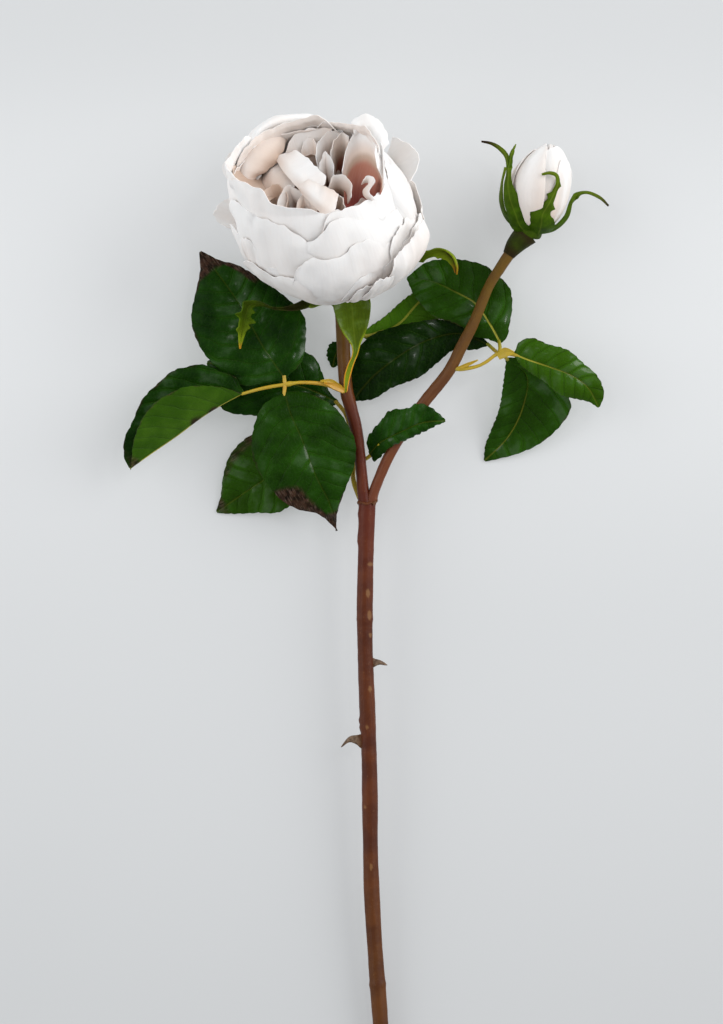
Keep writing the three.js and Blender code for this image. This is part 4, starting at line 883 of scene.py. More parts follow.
def cupPetal(build, layer, turn, phase, edge=None, rows=32, columns=60):
    layer = {**petalDefaults, **layer}
    s = np.linspace(-1, 1, columns + 1)[None, :]
    t = (1 - (1 - np.linspace(0, 1, rows + 1)) ** 1.35)[:, None]
    half, ruffle = layer["half"], layer["ruffle"]
    top = layer["reach"] * (1 - layer["round"] * s * s - 0.07 * s ** 8)
    if edge:
        # the petal spans its traced edge, and reaches on below its right neighbour
        angles, levels = np.array(sorted(cupPlace(px, py, layer["shell"], turn, half) for px, py in edge)).T
        first, last = angles[0], angles[-1] + layer["tuck"]
        turn, half, ruffle = (first + last) / 2, (last - first) / 2 / topWidth, 0.3
        traced = np.pad(np.interp(turn + half * s[0] * topWidth, angles, levels), 2, mode="edge")
        top = np.convolve(traced, [0.1, 0.2, 0.4, 0.2, 0.1], mode="valid")[None, :] - 0.05 * s ** 16
    top = top + 0.005 * np.sin(21 * s + phase * 3) + 0.003 * np.sin(34 * s + 5 * phase + 2 * np.sin(9 * s))
    u = layer["root"] + (top - layer["root"]) * t
    angle = turn + half * s * (0.75 + 0.25 * np.sin(math.pi * t * 0.8))
    lip = layer["lip"] * np.clip((t - 0.88) / 0.12, 0, 1) ** 2 * (0.5 + 0.5 * np.sin(5 * s + phase * 2))
    lip = lip * (0.4 if edge else 1)
    wave = (0.4 * np.sin(6.5 * s + 2.2 * phase + 2 * t) + 0.22 * np.sin(13 * s + phase * 3.1)
            + 0.14 * np.sin(27 * s + phase * 5)) * t ** 3 * (0.55 if edge else 1)
    # the margin leans in against the next layer
    hug = layer.get("hug", 1.9 if edge else 2.3) * t ** 5
    if edge:
        hug = hug * (1 - 0.8 * smoothstep(0.1, 0.8, -np.cos(np.radians(angle))))
    toRight = smoothstep(0.0, 0.8, np.cos(np.radians(angle)))
    hug = hug + layer["lean"] * smoothstep(layer["reach"] - 0.38, layer["reach"], u) * toRight
    radius = cupRadius(u, angle, layer["shell"]) - hug + layer["pinwheel"] * s + lip + wave
    # the lower part of the side that lies on top sinks in
    sunk = 1 - smoothstep(0.6, 0.93, t) if edge else 1.1
    radius = radius - 3.0 * smoothstep(0.66, 1.0, -s) * sunk
    folds = np.sin(17 * s + 3 * phase + 2 * np.sin(3 * t))
    radius = radius + layer["crease"] * folds * np.sin(math.pi * t) ** 0.8 * 0.5
    height = (spline(cupProfile, np.clip(u, 0, 1))[..., 1] + np.maximum(u - 1, 0) * aboveRim
              + ruffle * np.sin(4 * s + phase) * t ** 3 - lip * 0.35)
    grid = inBloom(radius, angle, height)
    swells = 0.8 * ripple(grid, 12.0, 3.0) + (0.12 + 0.26 * t ** 3) * ripple(grid, 4.5, phase)
    grid = grid + gridNormals(grid) * swells[..., None] * t[..., None] ** 0.5
    # the tone of both faces, and which of them looks out of the bloom; the tone deepens towards the root and
    # more on the inner face, which is painted shade down in the cup, and it pales at the free margin
    outer, inner = layer["tone"]
    tone = outer + 0.10 * (1 - t) ** 1.5 + 0.03 * np.sin(3 * s + phase)
    outside, inside = tone * (1 - t ** 12) + tone * 0.4 * t ** 12, inner * (1.25 - 0.45 * t)
    middle = grid.mean(axis=(0, 1))
    away = unit(middle - inBloom(np.array(0.0), 0.0, np.array(30.0)))
    outwards = np.median(np.sum(gridNormals(grid) * (grid - middle + 20 * away), axis=-1)) > 0
    front, back = (outside, inside) if outwards else (inside, outside)
    build.sheet(grid, 0.5 - 0.2 * t, {"tone": back}, tone=front)


# petals by rails of (pixel x, pixel y, height along the bloom's axis), and their thickness
petalThick = 0.34  # mm


def patch(build, rails, tone, bulge=0.0, rows=22, columns=30, seed=0.0, rough=0.3, curl=0.0, torn=0.6):
    across = np.linspace(0, 1, columns + 1)
    down = np.linspace(0, 1, rows + 1)
    lines = np.stack([rail(r, across) for r in rails])
    grid = np.stack([rail(lines[:, k], down) for k in range(columns + 1)], axis=1)
    world = bloomSpot(grid[..., 0], grid[..., 1], grid[..., 2])
    s, t = across[None, :] * 2 - 1, down[:, None]
    normal = gridNormals(world)
    facing = np.sign(np.median(normal[..., 2]))
    lift = bulge * (1 - s ** 2) * np.sin(math.pi * t) - curl * (1 - t) ** 3
    edgeWave = rough * (np.sin(5 * s + seed) + 0.4 * np.sin(13 * s + 2 * seed)) * (1 - t) ** 2
    world = world + normal * facing * (lift + edgeWave + 0.34 * ripple(world, 5.0, seed))[..., None]
    # small notches along the free edge
    notch = 0.35 * np.sin(13 * s + seed * 3) + 0.3 * np.sin(23 * s + seed * 5 + 2 * np.sin(6 * s))
    world = world + unit(world[1:2] - world[0:1]) * (torn * notch * (1 - t) ** 4)[..., None]
    build.sheet(world, petalThick, tone=shares(tone, t ** 0.8) + 0.05 * np.sin(4 * s + seed))


def standing(build, edge, tone, drop=16.0, taper=0.25, bulge=0.8, **more):
    # a petal that stands up: its free edge, and a foot that is deeper and nearer to the axis
    (baseX, baseY), (axisX, axisY) = bloomPhoto["base"], bloomPhoto["axis"]
    points = np.array(edge, float)
    midX, midY = baseX - axisX * points[:, 2] / pixelSize, baseY - axisY * points[:, 2] / pixelSize
    foot = np.stack([midX + (points[:, 0] - midX) * (1 - taper) + drop * axisX / pixelSize,
                     midY + (points[:, 1] - midY) * (1 - taper) + drop * axisY / pixelSize,
                     points[:, 2] - drop], axis=-1)
    patch(build, [points, (points + foot) / 2, foot], tone, bulge, **more)


outerLayers = [
    {"count": 5, "turn": 15, "half": 42, "shell": 1, "root": 0.06, "reach": 0.56, "pinwheel": -0.95,
     "tone": (0.12, 0.14), "lip": 1.2},
    {"count": 5, "turn": 51, "half": 42, "shell": 0.935, "root": 0.16, "reach": 0.74, "pinwheel": -0.95,
     "tone": (0.07, 0.12), "lip": 1.3},
    {"count": 5, "turn": 8, "half": 42, "shell": 0.87, "root": 0.28, "reach": 0.95, "pinwheel": -0.95,
     "tone": (0.04, 0.2), "lip": 1, "round": 0.08},
    {"count": 5, "turn": 35, "half": 49, "shell": 0.805, "root": 0.42, "reach": 1.07, "pinwheel": -0.8,
     "tone": (0.03, 0.3), "lip": 0.5, "hug": 0.4, "lean": 0, "round": 0.06},
]
# free edges read off the photo, in pixels, by layer and petal
photoEdges = {
    (0, 3): [(240, 262), (254, 262), (270, 276.6), (291, 280), (318, 285), (345, 291)],
    (0, 4): [(345, 296), (356, 285), (372, 276), (385, 272), (398, 262), (412, 246), (426, 226)],
    (1, 2): [(231, 222), (243, 236), (256, 258), (270, 270)],
    (1, 3): [(292, 279), (298, 270), (306, 262), (316, 261), (330, 263), (343.5, 259), (359, 248),
        (368, 245), (391, 247)],
    (1, 4): [(391, 248), (404, 232), (418, 214), (426, 204)],
    (2, 3): [(232, 196), (241.5, 204.8), (259, 217.6), (271, 224), (285, 231), (298, 240), (313, 255),
        (323, 262)],
    (2, 4): [(299, 244), (309, 243), (318, 241), (325, 236), (329, 229), (334, 223), (350, 222.5),
        (378.6, 224.7), (400, 212), (414, 194)],
    (3, 2): [(250, 134), (238, 146), (232, 158), (230, 170), (233, 179)],
    (3, 3): [(231, 178), (246, 179), (254, 190), (264, 193.6), (270, 205), (289, 211), (311.6, 211),
        (322.8, 217.5)],
    (3, 4): [(322.8, 217.5), (343.5, 211), (359, 206), (374, 198), (385, 186), (380, 170), (378.6, 156)],
}
petalChanges = {
    (2, 3): {"shell": 0.895}, (3, 2): {"tone": (0.02, 0.06)}, (3, 0): {"tone": (0.03, 0.2)},
    (3, 1): {"tone": (0.03, 0.2)}}
loosePetals = [
    [
        [(232, 198, 39), (225, 200, 41), (217, 207, 41), (213.6, 214, 39), (217, 221, 36), (227, 228, 33)],
        [(240, 206, 37), (236, 208, 37), (230, 213, 36), (228, 218, 35), (230, 224, 33), (236, 230, 31)],
        [(250, 214, 31.5), (249, 217, 31.5), (247, 221, 30.5), (246, 225, 29.5), (246, 230, 28),
            (248, 234, 27)]],
    [
        [(250, 140, 60), (241, 146, 60), (230, 153, 58.5), (222.6, 168, 54), (226, 178, 50), (234, 184, 47)],
        [(254, 156, 54), (249, 158, 54), (243, 163, 53), (239, 172, 51), (240, 180, 48), (244, 186, 45)],
        [(262, 176, 49), (260, 178, 49), (257, 182, 47.5), (255, 186, 46), (255, 190, 44.5), (256, 194, 43)]],
    [
        [(392, 138, 52), (402, 141, 52), (412, 147, 51), (418, 155, 48), (417, 168, 45), (411, 182, 42)],
        [(388, 152, 45), (394, 155, 45), (400, 160, 44), (404, 166, 42), (404, 175, 40), (400, 186, 38)],
        [(380, 176, 33), (383, 179, 33), (386, 183, 32), (388, 187, 31), (388, 192, 30), (386, 198, 29)]]]
# narrow petals between the layers, whose edges show low on the cup
lowPetals = [
    {"shell": 0.97, "edge": [(240, 238), (250, 240), (258, 252), (268, 268), (273, 279)]},
    {"shell": 1.02, "edge": [(350, 300), (358, 291), (368, 287), (378, 288), (390, 284)]},
    {"shell": 1.05, "edge": [(368, 292), (376, 282), (386, 279), (397, 277), (408, 266)]},
    {"shell": 1.04, "edge": [(392, 262), (402, 250), (410, 243), (418, 233), (424, 222)]},
]
lowLook = {**outerLayers[0], "root": 0.1, "tuck": 3, "lip": 0.9, "hug": 0.6, "lean": 0, "crease": 0.3}
outerBuild, rimBuild = Build(), Build()
for depth, layer in enumerate(outerLayers):
    for index in range(layer["count"]):
        cupPetal(outerBuild if depth < 2 else rimBuild, {**layer, **petalChanges.get((depth, index), {})},
                 layer["turn"] + 360 * index / layer["count"], 1.9 * index + depth,
                 photoEdges.get((depth, index)))
for number, rails in enumerate(loosePetals):
    patch(outerBuild, rails, (0.03, 0.06), bulge=0.6, rows=18, columns=26, seed=20.0 + number)
for number, low in enumerate(lowPetals):
    cupPetal(outerBuild, {**lowLook, "shell": low["shell"]}, 270 if low["shell"] < 1 else 315, 4.0 + number,
             low["edge"], rows=22, columns=34)
outerBuild.finish("bloom_outer_petals", "bloom_petals", "petal", petalLook)
rimBuild.finish("bloom_rim_petals", "bloom_petals", "petal", petalLook)
print("outer petals")


# inner petals, each with rails or with the free edge that it stands up to; their tones mostly deepen towards
# their feet, partly their own blush and red and partly painted shade down in the heart
heartPetals = {
    "backWall": {
        "rails": [
            [(262, 137, 57), (289, 134, 57), (311, 130, 57), (340, 129, 57), (358, 133, 57)],
            [(272, 148, 50), (292, 143, 50), (312, 139, 50), (335, 138, 50), (354, 142, 50)],
            [(286, 168, 40), (300, 166, 40), (316, 164, 40), (332, 166, 40), (346, 168, 40)]],
        "tone": (0.16, 0.36), "bulge": 0.5, "seed": 1},
    # painted shade: this beige petal's tone is darkest along its free edge, its first rail
    "beigePetal": {
        "rails": [
            [(289, 136, 53.5), (285, 148, 52.5), (278, 160, 51.5), (269, 170, 51), (258, 178, 50),
                (248, 190, 48)],
            [(282, 130, 56.4), (274, 144, 56.6), (266, 157, 56), (257, 168, 54.4), (248, 179, 52.6),
                (241, 191, 49)],
            [(270, 124, 57.6), (258, 138, 58), (250, 152, 57.6), (243, 166, 56), (240, 180, 52.5),
                (236, 194, 48)],
            [(264, 121, 54), (249, 134, 54), (241, 150, 53), (236, 165, 52), (234, 180, 50), (233, 195, 46)]],
        "tone": (0.44, 0.34, 0.2, 0.04), "bulge": 0.5, "seed": 2, "rough": 0.7},
    "rimFoldLeft": {
        "rails": [
            [(249, 138, 60), (255, 127, 61), (265, 119.5, 61.5), (278, 115, 61.5), (293, 113.5, 61),
                (309, 114, 60), (322, 119, 56)],
            [(255, 141, 60), (261, 131.5, 60.5), (270, 125.5, 61), (281, 121, 61), (294, 118.5, 60),
                (309, 117.5, 59), (322, 121, 55)],
            [(257, 140, 53), (265, 134, 55), (275, 129.5, 56.4), (286, 127, 57), (297, 123, 57),
                (310, 121, 57), (322, 123, 53)]],
        "tone": (0, 0.05, 0.2), "bulge": 1, "seed": 21, "rough": 0.3, "curl": 0.8},
    "rimFoldRight": {
        "rails": [
            [(350, 121, 60.5), (359, 115, 61.5), (369, 115, 62), (378, 120, 62), (385, 130, 61.5),
                (389, 144, 60)],
            [(353, 129, 60), (361, 123.5, 60.5), (369, 124, 61), (375, 129, 61), (380, 138, 60.5),
                (384, 150, 59.5)],
            [(354, 141, 57), (360, 137, 57), (366, 138, 57.5), (371, 143, 58), (375, 151, 58),
                (379, 162, 57.5)]],
        "tone": (0, 0.03, 0.16), "bulge": 1.4, "seed": 22, "rough": 0.35, "curl": 0.8},
    # painted shade: this wall, deep in the left side of the cup, is given a dark tan tone
    "shadedRecessWall": {
        "rails": [
            [(233, 160, 59), (234, 178, 59), (246, 194, 59), (266, 206, 58)],
            [(246, 156, 52), (250, 172, 51), (260, 187, 51), (274, 200, 51)],
            [(264, 154, 44), (270, 166, 43), (277, 180, 43), (288, 194, 43)]],
        "tone": (0.36, 0.46, 0.52), "bulge": -1, "seed": 3},
    "palePetal": {
        "rails": [
            [(284, 152, 48), (283, 163, 50.5), (288, 174, 52.5), (296, 186, 53.6)],
            [(270, 164, 48), (272, 174, 50), (279, 184, 51.6), (289, 194, 52.6)],
            [(258, 176, 45), (262, 186, 47), (270, 194, 48.6), (284, 202, 50)]],
        "tone": (0.2, 0.24, 0.4), "bulge": 0.8, "seed": 19, "rough": 0.2},
    "backLeft": {
        "edge": [(284, 166, 49), (285, 153, 51), (289, 142, 54), (297, 134, 56), (307, 129.5, 57),
            (319, 128, 57.4), (332, 129, 57.2)],
        "tone": (0.14, 0.2, 0.34), "drop": 20, "seed": 4, "rough": 0.4},
    "backSmall": {
        "edge": [(301, 152, 50.5), (303, 144, 52.5), (307, 139, 54), (313, 138.6, 54.4), (317, 144, 54)],
        "tone": (0.12, 0.3, 0.5), "drop": 14, "seed": 5, "rough": 0.25},
    "backMiddle": {
        "edge": [(317.5, 172, 50), (316.5, 159, 52), (317.5, 147, 54), (321, 138, 55.4), (328, 132.6, 56.4),
            (336, 130.6, 56.8), (343, 131, 56.6)],
        "tone": (0.06, 0.2, 0.46), "drop": 17, "seed": 6, "rough": 0.3, "taper": 0.12},
    "backRed": {
        "edge": [(331, 172, 50), (331.5, 158, 52.5), (332, 146, 54.4), (336, 138, 55.8), (343, 134, 56.6),
            (349, 137, 56.6)],
        "tone": (0.16, 0.4, 0.85), "drop": 16, "seed": 7, "rough": 0.3, "taper": 0.12},
    "middleFold": {
        "edge": [(319, 182, 49), (319.5, 168, 51.2), (321.5, 157, 53.6), (325, 152, 54.8), (329, 155, 54.2),
            (332.5, 164, 52.8), (334, 178, 50.4)],
        "tone": (0.04, 0.26, 0.7), "drop": 15, "bulge": 1.8, "seed": 8, "rough": 0.3},
    "redPetal": {
        "rails": [
            [(343, 172, 54), (346, 152, 56), (352, 137, 58), (361, 129, 59.5), (371, 130, 60.5),
                (379, 140, 61), (384, 160, 60.5), (385, 186, 60)],
            [(343, 182, 50.5), (348, 168, 52), (354, 158, 53.5), (361, 154, 54.5), (368, 155, 55.5),
                (375, 162, 56.5), (380, 175, 57), (382, 192, 57)],
            [(344, 196, 50), (350, 188, 50.2), (356, 184, 50), (362, 182, 49.8), (368, 183, 50.4),
                (373, 187, 51.4), (377, 192, 52.4), (379, 198, 53)],
            [(345, 213, 48.5), (350, 214, 48), (356, 214, 47), (361, 213, 46), (366, 211, 45.4),
                (371, 208, 46.4), (374, 205, 47.6), (376, 202, 49)]],
        "tone": (0, 0.06, 0.3, 0.66, 0.76, 0.9, 1.15), "bulge": -1.5, "rows": 30, "seed": 10, "rough": 0.4},
    "lowFold": {
        "edge": [(325, 208, 54.4), (330, 200, 55.6), (337, 196.5, 56), (343, 199, 55.4), (344.5, 212, 54)],
        "tone": (0.16, 0.34, 0.5), "drop": 12, "bulge": 1.2, "seed": 12.6, "rough": 0.3},
    "middleLow": {
        "edge": [(328.4, 190, 52), (330, 182, 54), (335, 176.6, 55), (342, 176, 55.2), (349, 180, 55),
            (352.4, 187, 54.4), (350, 199, 53)],
        "tone": (0.14, 0.3, 0.56), "drop": 9, "bulge": 1.2, "seed": 12, "rough": 0.3, "torn": 0.3},
    "curledRibbon": {
        "rails": [
            [(363, 181, 56), (367, 177.5, 57), (373, 178.6, 57), (375, 185, 57), (370.6, 191, 57),
                (370, 196, 57), (374.5, 201, 57)],
            [(361.5, 186, 54), (364.5, 184.5, 54), (368.5, 184.6, 54), (367.5, 189, 54), (363.5, 192, 54),
                (364, 197.6, 54), (370.5, 203.5, 54)]],
        "tone": (0.1, 0.3), "bulge": 0.6, "rows": 10, "columns": 40, "seed": 13, "torn": 0.15},
    "recessPetal": {
        "edge": [(258, 212, 52), (264, 194, 53.5), (271.8, 186, 54.5), (281, 186.5, 54.5), (287, 196, 53.5),
            (286, 212, 52)],
        "tone": (0.38, 0.46, 0.56), "drop": 12, "bulge": 2.4, "seed": 14, "rough": 0.4},
    "besideTongue": {
        "edge": [(277, 214, 54), (282.5, 191, 55), (289.3, 185.7, 56), (296, 190, 55.5), (303, 195, 55),
            (314, 212, 55)],
        "tone": (0.1, 0.26), "drop": 12, "bulge": 2.2, "seed": 15, "rough": 0.4},
    "underTongue": {
        "rails": [
            [(296, 214, 56), (299, 200, 56), (304, 196, 56), (311, 201, 56), (318, 212, 56.5)],
            [(298, 222, 53), (302, 212, 53), (306, 208, 53), (311, 212, 53), (316, 220, 53.5)]],
        "tone": (0.2, 0.36), "bulge": 0.8, "rows": 12, "columns": 24, "seed": 16},
    "tongue": {
        "rails": [
            [(284.5, 153.4, 51), (296, 152.6, 54), (309, 160, 56), (318, 169.7, 57), (326, 179.5, 57),
                (324.5, 187, 56)],
            [(283.5, 154, 52.6), (293, 157, 54.6), (304, 166, 56.2), (312, 174, 57), (317, 182, 57),
                (317, 189, 56)],
            [(279.5, 155.6, 52.6), (288, 167, 55.8), (297, 177, 57.6), (304, 184, 57.9), (309, 191, 56.6)],
            [(275.5, 159, 51.6), (283, 171.5, 54.6), (292, 182.6, 56.4), (298, 189.4, 57), (301, 193, 56.6)]],
        "tone": (0.04, 0.07, 0.1, 0.2), "bulge": 0.1, "rows": 30, "columns": 44, "seed": 17, "rough": 0.5},
    # painted shade: the crease along this fold's first rail, under the tongue's curl, has a darker tone
    "tongueFold": {
        "rails": [
            [(303, 181, 55.5), (311, 179.6, 57), (319.6, 185.7, 57.5), (328, 190.5, 57.5),
                (338.8, 195.4, 57)],
            [(300.5, 184, 57.2), (309, 186, 58.6), (318, 192, 59), (327, 198, 58.8), (337, 204, 58)],
            [(300, 189, 57.6), (308, 195, 58.8), (316, 201.5, 59.2), (324, 208, 59), (334.5, 213, 58.4)],
            [(300.5, 193, 56.2), (306, 199.5, 57), (311.6, 205.4, 57.4), (317.6, 211.6, 57.8),
                (324, 218, 58)]],
        "tone": (0.24, 0.16, 0.14, 0.24), "bulge": 0.1, "rows": 26, "columns": 38, "seed": 18, "rough": 0.5},
}
# rings of shorter petals deeper in, which show from other sides
ringLook = {"pinwheel": 1.1, "tone": (0.34, 0.46), "lip": 0.2, "root": 0.6}
heartRings = [{"count": 5, "turn": 20, "half": 40, "shell": 0.6, "reach": 0.8},
              {"count": 4, "turn": 60, "half": 47, "shell": 0.42, "reach": 0.76}]
heart = Build()
for petal in heartPetals.values():
    (standing if "edge" in petal else patch)(heart, **petal)
for depth, ring in enumerate(heartRings):
    for index in range(ring["count"]):
        cupPetal(heart, {**ringLook, **ring}, ring["turn"] + 360 * index / ring["count"],
                 1.3 * index + 2 * depth, rows=14, columns=26)
heart.finish("bloom_heart", "bloom_petals", "petal", petalLook)
# the dense middle under them, as radius and height; its top takes a deep tone, partly rose colour and partly
# painted shade deep in the heart
coreShape = [(0.05, 0), (7, 0), (14, 4.4), (22.5, 10.6), (29, 19.5), (31, 28), (29, 33), (22, 36), (12, 37),
             (0.05, 37)]
share = np.linspace(0, 1, 60)
coreRail = rail(coreShape, share)
turns = np.linspace(0, 360, 73)
core = Build()
folds = 1 + 0.04 * np.sin(np.radians(turns * 9))[None, :] * smoothstep(0.4, 0.8, share)[:, None]
coreGrid = inBloom(coreRail[:, 0:1] * folds, turns[None, :], coreRail[:, 1:2] * folds)
core.sheet(coreGrid, 0.4, tone=(0.1 + 0.66 * smoothstep(0.62, 0.75, share))[:, None])
core.finish("bloom_core", "bloom_petals", "petal", petalLook, 80)
print("inner petals")


# sepals and hips
sepalDetail = {"thick": 0.5, "columns": 12, "wave": 0.25, "hipThick": 0.2}


def ribbon(build, points, halfWidths, facing, cup=0.3, rows=44, ripe=(0.2, 0.2), burn=(0, 0), lobes=(),
           spike=0.045, seed=1.0, inside=(0, 0)):
    share = np.linspace(0, 1, rows)
    path = rail(points, share)
    faces = unit(np.array(facing, float))
    up = unit(np.stack([shares(faces[:, k], share) for k in range(3)], axis=-1))
    ahead = unit(np.gradient(path, axis=0))
    side = unit(np.cross(ahead, up))
    s = np.linspace(-1, 1, sepalDetail["columns"] + 1)[None, :]
    half = shares(halfWidths, share)[:, None]
    # side lobes: place, side and size
    for centre, sign, size in lobes:
        near = np.clip(1 - np.abs(share[:, None] - centre) / spike, 0, 1)
        half = half + size * near ** 1.6 * (s * sign > 0)
    grid = path[:, None] + side[:, None] * (half * s)[..., None]
    lift = cup * half * s * s - 0.25 * np.exp(-(s / 0.12) ** 2) * np.sign(cup)
    lift = lift + sepalDetail["wave"] * np.sin(share[:, None] * 14 + seed) * s * s
    grid = grid + up[:, None] * lift[..., None]
    # inside darkens the middle of the ribbon: painted shade in the hollow of a curled tip
    dark = shares(burn, share)[:, None] + shares(inside, share)[:, None] * np.exp(-(s / 0.55) ** 2)
    build.sheet(grid, sepalDetail["thick"], ripe=shares(ripe, share)[:, None], burn=dark)


def turned(build, outline, frameAt, sides, **data):
    # a lathed body with the outline as radius and height
    shape = rail(outline, np.linspace(0, 1, 40))
    turns = np.linspace(0, 360, sides + 1)
    lumps = 1 + 0.02 * np.sin(np.radians(turns * 5))[None, :]
    grid = frameAt(shape[:, 0:1] * lumps, turns[None, :], shape[:, 1:2])
    build.sheet(grid, sepalDetail["hipThick"], **data)


bloomSepals = [
    {"points": [(-6, 91.3, 13.6), (4, 93.5, 14.6), (12, 96.5, 17.2), (20, 100, 21), (25.6, 102.4, 24),
         (31.6, 104.5, 26), (36.4, 102.6, 26), (38.3, 98.8, 24.4), (38.2, 95.6, 22.4)],
     "halfWidths": [2.2, 3.2, 2.8, 1.6, 0.9, 0.8, 0.9, 1.4, 2.5, 2.2, 0.8],
     "facing": [(-0.2, 0.8, 0.6), (-0.1, 0.5, 1), (0, 0.1, 1), (-0.4, -0.5, 0.8), (-0.9, -0.4, 0.3)],
     "cup": 0.9, "ripe": (0.1, 0.1, 0.1, 0.15, 0.25, 0.45, 0.95), "burn": (0.3, 0.2, 0, 0, 0, 0, 0.1, 0.4),
     "seed": 2, "inside": (0, 0, 0, 0, 0, 0, 1, 1), "rows": 64,
     "lobes": [(0.6, 1, 1.1), (0.66, -1, 0.9), (0.74, 1, 0.8)]},
    {"points": [(-13, 88.6, 13.8), (-19, 84.4, 16), (-26, 81.6, 18.6), (-34.6, 81.4, 21),
         (-40.6, 83.2, 23.4), (-44.6, 82.6, 24.4), (-46.6, 77.4, 24), (-48, 71, 23), (-48.6, 65.4, 20.6)],
     "halfWidths": [2, 2.6, 2.2, 1.4, 0.5, 0.4, 1, 2, 1.9, 1.1, 0.3],
     "facing": [(-0.1, 0.8, 0.6), (0, 0.5, 1), (0, 0.1, 1), (0, 0, 1), (0.2, 0.2, 1)], "cup": 0.7,
     "ripe": (0, 0, 0, 0, 0.1, 0.15, 0.15, 0.3, 0.95), "burn": (0.3, 0.4, 0.6, 0.62, 0.5, 0.3, 0.1, 0, 0.3),
     "lobes": [(0.67, 1, 1.2), (0.7, -1, 1.6), (0.75, 1, 2.6), (0.775, -1, 3.2), (0.83, -1, 1.4),
         (0.86, 1, 1.2)],
     "spike": 0.03, "rows": 110, "seed": 3},
]
# short sepals under the cup, by their angle, as radius and height
shortSepals = {312: [(4, -1.4), (12, 1.6), (19, 4.6), (23, 6.6)],
               236: [(4, -1.4), (12, 1.6), (18, 4.2), (22, 6.2)],
               92: [(4, -1.4), (11, 1), (16, 3.2), (20, 5.2)]}
shortHalfWidths = [2.4, 3.8, 2.8, 0.6]
hipShape = [(0.05, -9.4), (2.9, -9.4), (4.2, -7.5), (5.2, -4.8), (5.4, -2.2), (5, -0.3), (0.05, -0.3)]
calyx = Build()
turned(calyx, hipShape, inBloom, 36, ripe=0.3)
for sepal in bloomSepals:
    ribbon(calyx, **sepal)
for turn, reach in shortSepals.items():
    points = [inBloom(np.array(float(r)), turn, np.array(float(h))) for r, h in reach]
    ribbon(calyx, points, shortHalfWidths, [bloomAxis, bloomAxis], cup=0.1, rows=26, ripe=(0.15, 0.3),
           seed=turn)
calyx.finish("bloom_sepals", "bloom_calyx", "calyx", sepalLook, 60)
print("bloom calyx")


# the bud: each wrap runs from one angle to another, and its last edge lies on top
budWraps = [
    {"start": 20, "end": 175, "shell": 0.97, "top": 0.93, "twist": 14, "tone": 0.1},
    {"start": 250, "end": 395, "shell": 0.955, "top": 0.97, "twist": 16, "tone": 0.02},
    {"start": 148, "end": 289, "shell": 1, "top": 0.985, "twist": 20, "tone": 0.06},
    {"start": 95, "end": 222, "shell": 1.035, "top": 0.86, "twist": 22, "tone": 0.12},
    {"start": 305, "end": 372, "shell": 1.03, "top": 0.8, "twist": 10, "tone": 0.04},
    {"start": 200, "end": 330, "shell": 0.7, "top": 1, "twist": 30, "tone": 0.06},
    {"start": 20, "end": 200, "shell": 0.72, "top": 0.98, "twist": 30, "tone": 0.1},
]
budProfile = [(2.6, 0.3), (7.6, 3), (10.8, 10), (11.6, 17.5), (9.8, 25), (6.1, 31), (2.3, 34.8)]
budCore = [(0.05, 0), (4.5, 0), (7.2, 4.5), (8.9, 11), (9.2, 18), (6.4, 25), (3.0, 29), (0.05, 30)]
budHip = [(0.05, -3.4), (4.2, -3.4), (4.8, -2), (4.6, -0.3), (0.05, -0.3)]
budNeck = [(58.8, 102.8, 18), (61.4, 106.6, 18), (64, 109.4, 18.1), (66.9, 111.6, 18.25)]
budRight, _, inBud = standFrame(np.array([67.6, 113.4, 18.4]), unit(np.array([0.19, 0.975, 0.09])))
budBuild = Build()
for number, wrap in enumerate(budWraps):
    s = np.linspace(-1, 1, 57)[None, :]
    t = np.linspace(0, 1, 49)[:, None]
    root = 0.06 if wrap["shell"] > 0.8 else 0.6
    top = wrap["top"] * (1 - 0.07 * s * s - 0.12 * s ** 8 + 0.012 * np.sin(5 * s + number))
    profile = spline(budProfile, root + (top - root) * t)
    middle, half = (wrap["start"] + wrap["end"]) / 2, (wrap["end"] - wrap["start"]) / 2
    angle = middle + half * s * (0.86 + 0.14 * np.sin(math.pi * t)) - wrap["twist"] * t ** 2
    radius = profile[..., 0] * wrap["shell"] + 0.35 * s + 0.25 * np.clip((t - 0.9) / 0.1, 0, 1) ** 2
    folds = 0.26 * np.sin(9 * s + 2 * number + 3 * t) * np.sin(math.pi * t)
    radius = radius + 0.2 * smoothstep(0.9, 1, s) + folds
    grid = inBud(np.maximum(radius, 0.7), angle, profile[..., 1])
    # the tip leans to the right
    grid = grid + budRight * (2.2 * smoothstep(14, 35, profile[..., 1]))[..., None]
    grid = grid + gridNormals(grid) * (0.2 * ripple(grid, 6.0, 4.0))[..., None]
    # painted shade: each wrap is darker towards its base, and more so on one side near the base
    tone = wrap["tone"] + 0.24 * (1 - t) ** 1.2 + 0.16 * smoothstep(0.2, -0.9, s) * (1 - t)
    tone = tone + 0.05 * np.sin(5 * s + 2 * t + number)
    budBuild.sheet(grid, petalThick, {"tone": 0.1}, tone=tone)
turned(budBuild, budCore, inBud, 40, tone=0.2)
budBuild.finish("bud_petal_wraps", "bud_petals", "bud_petal", budLook)

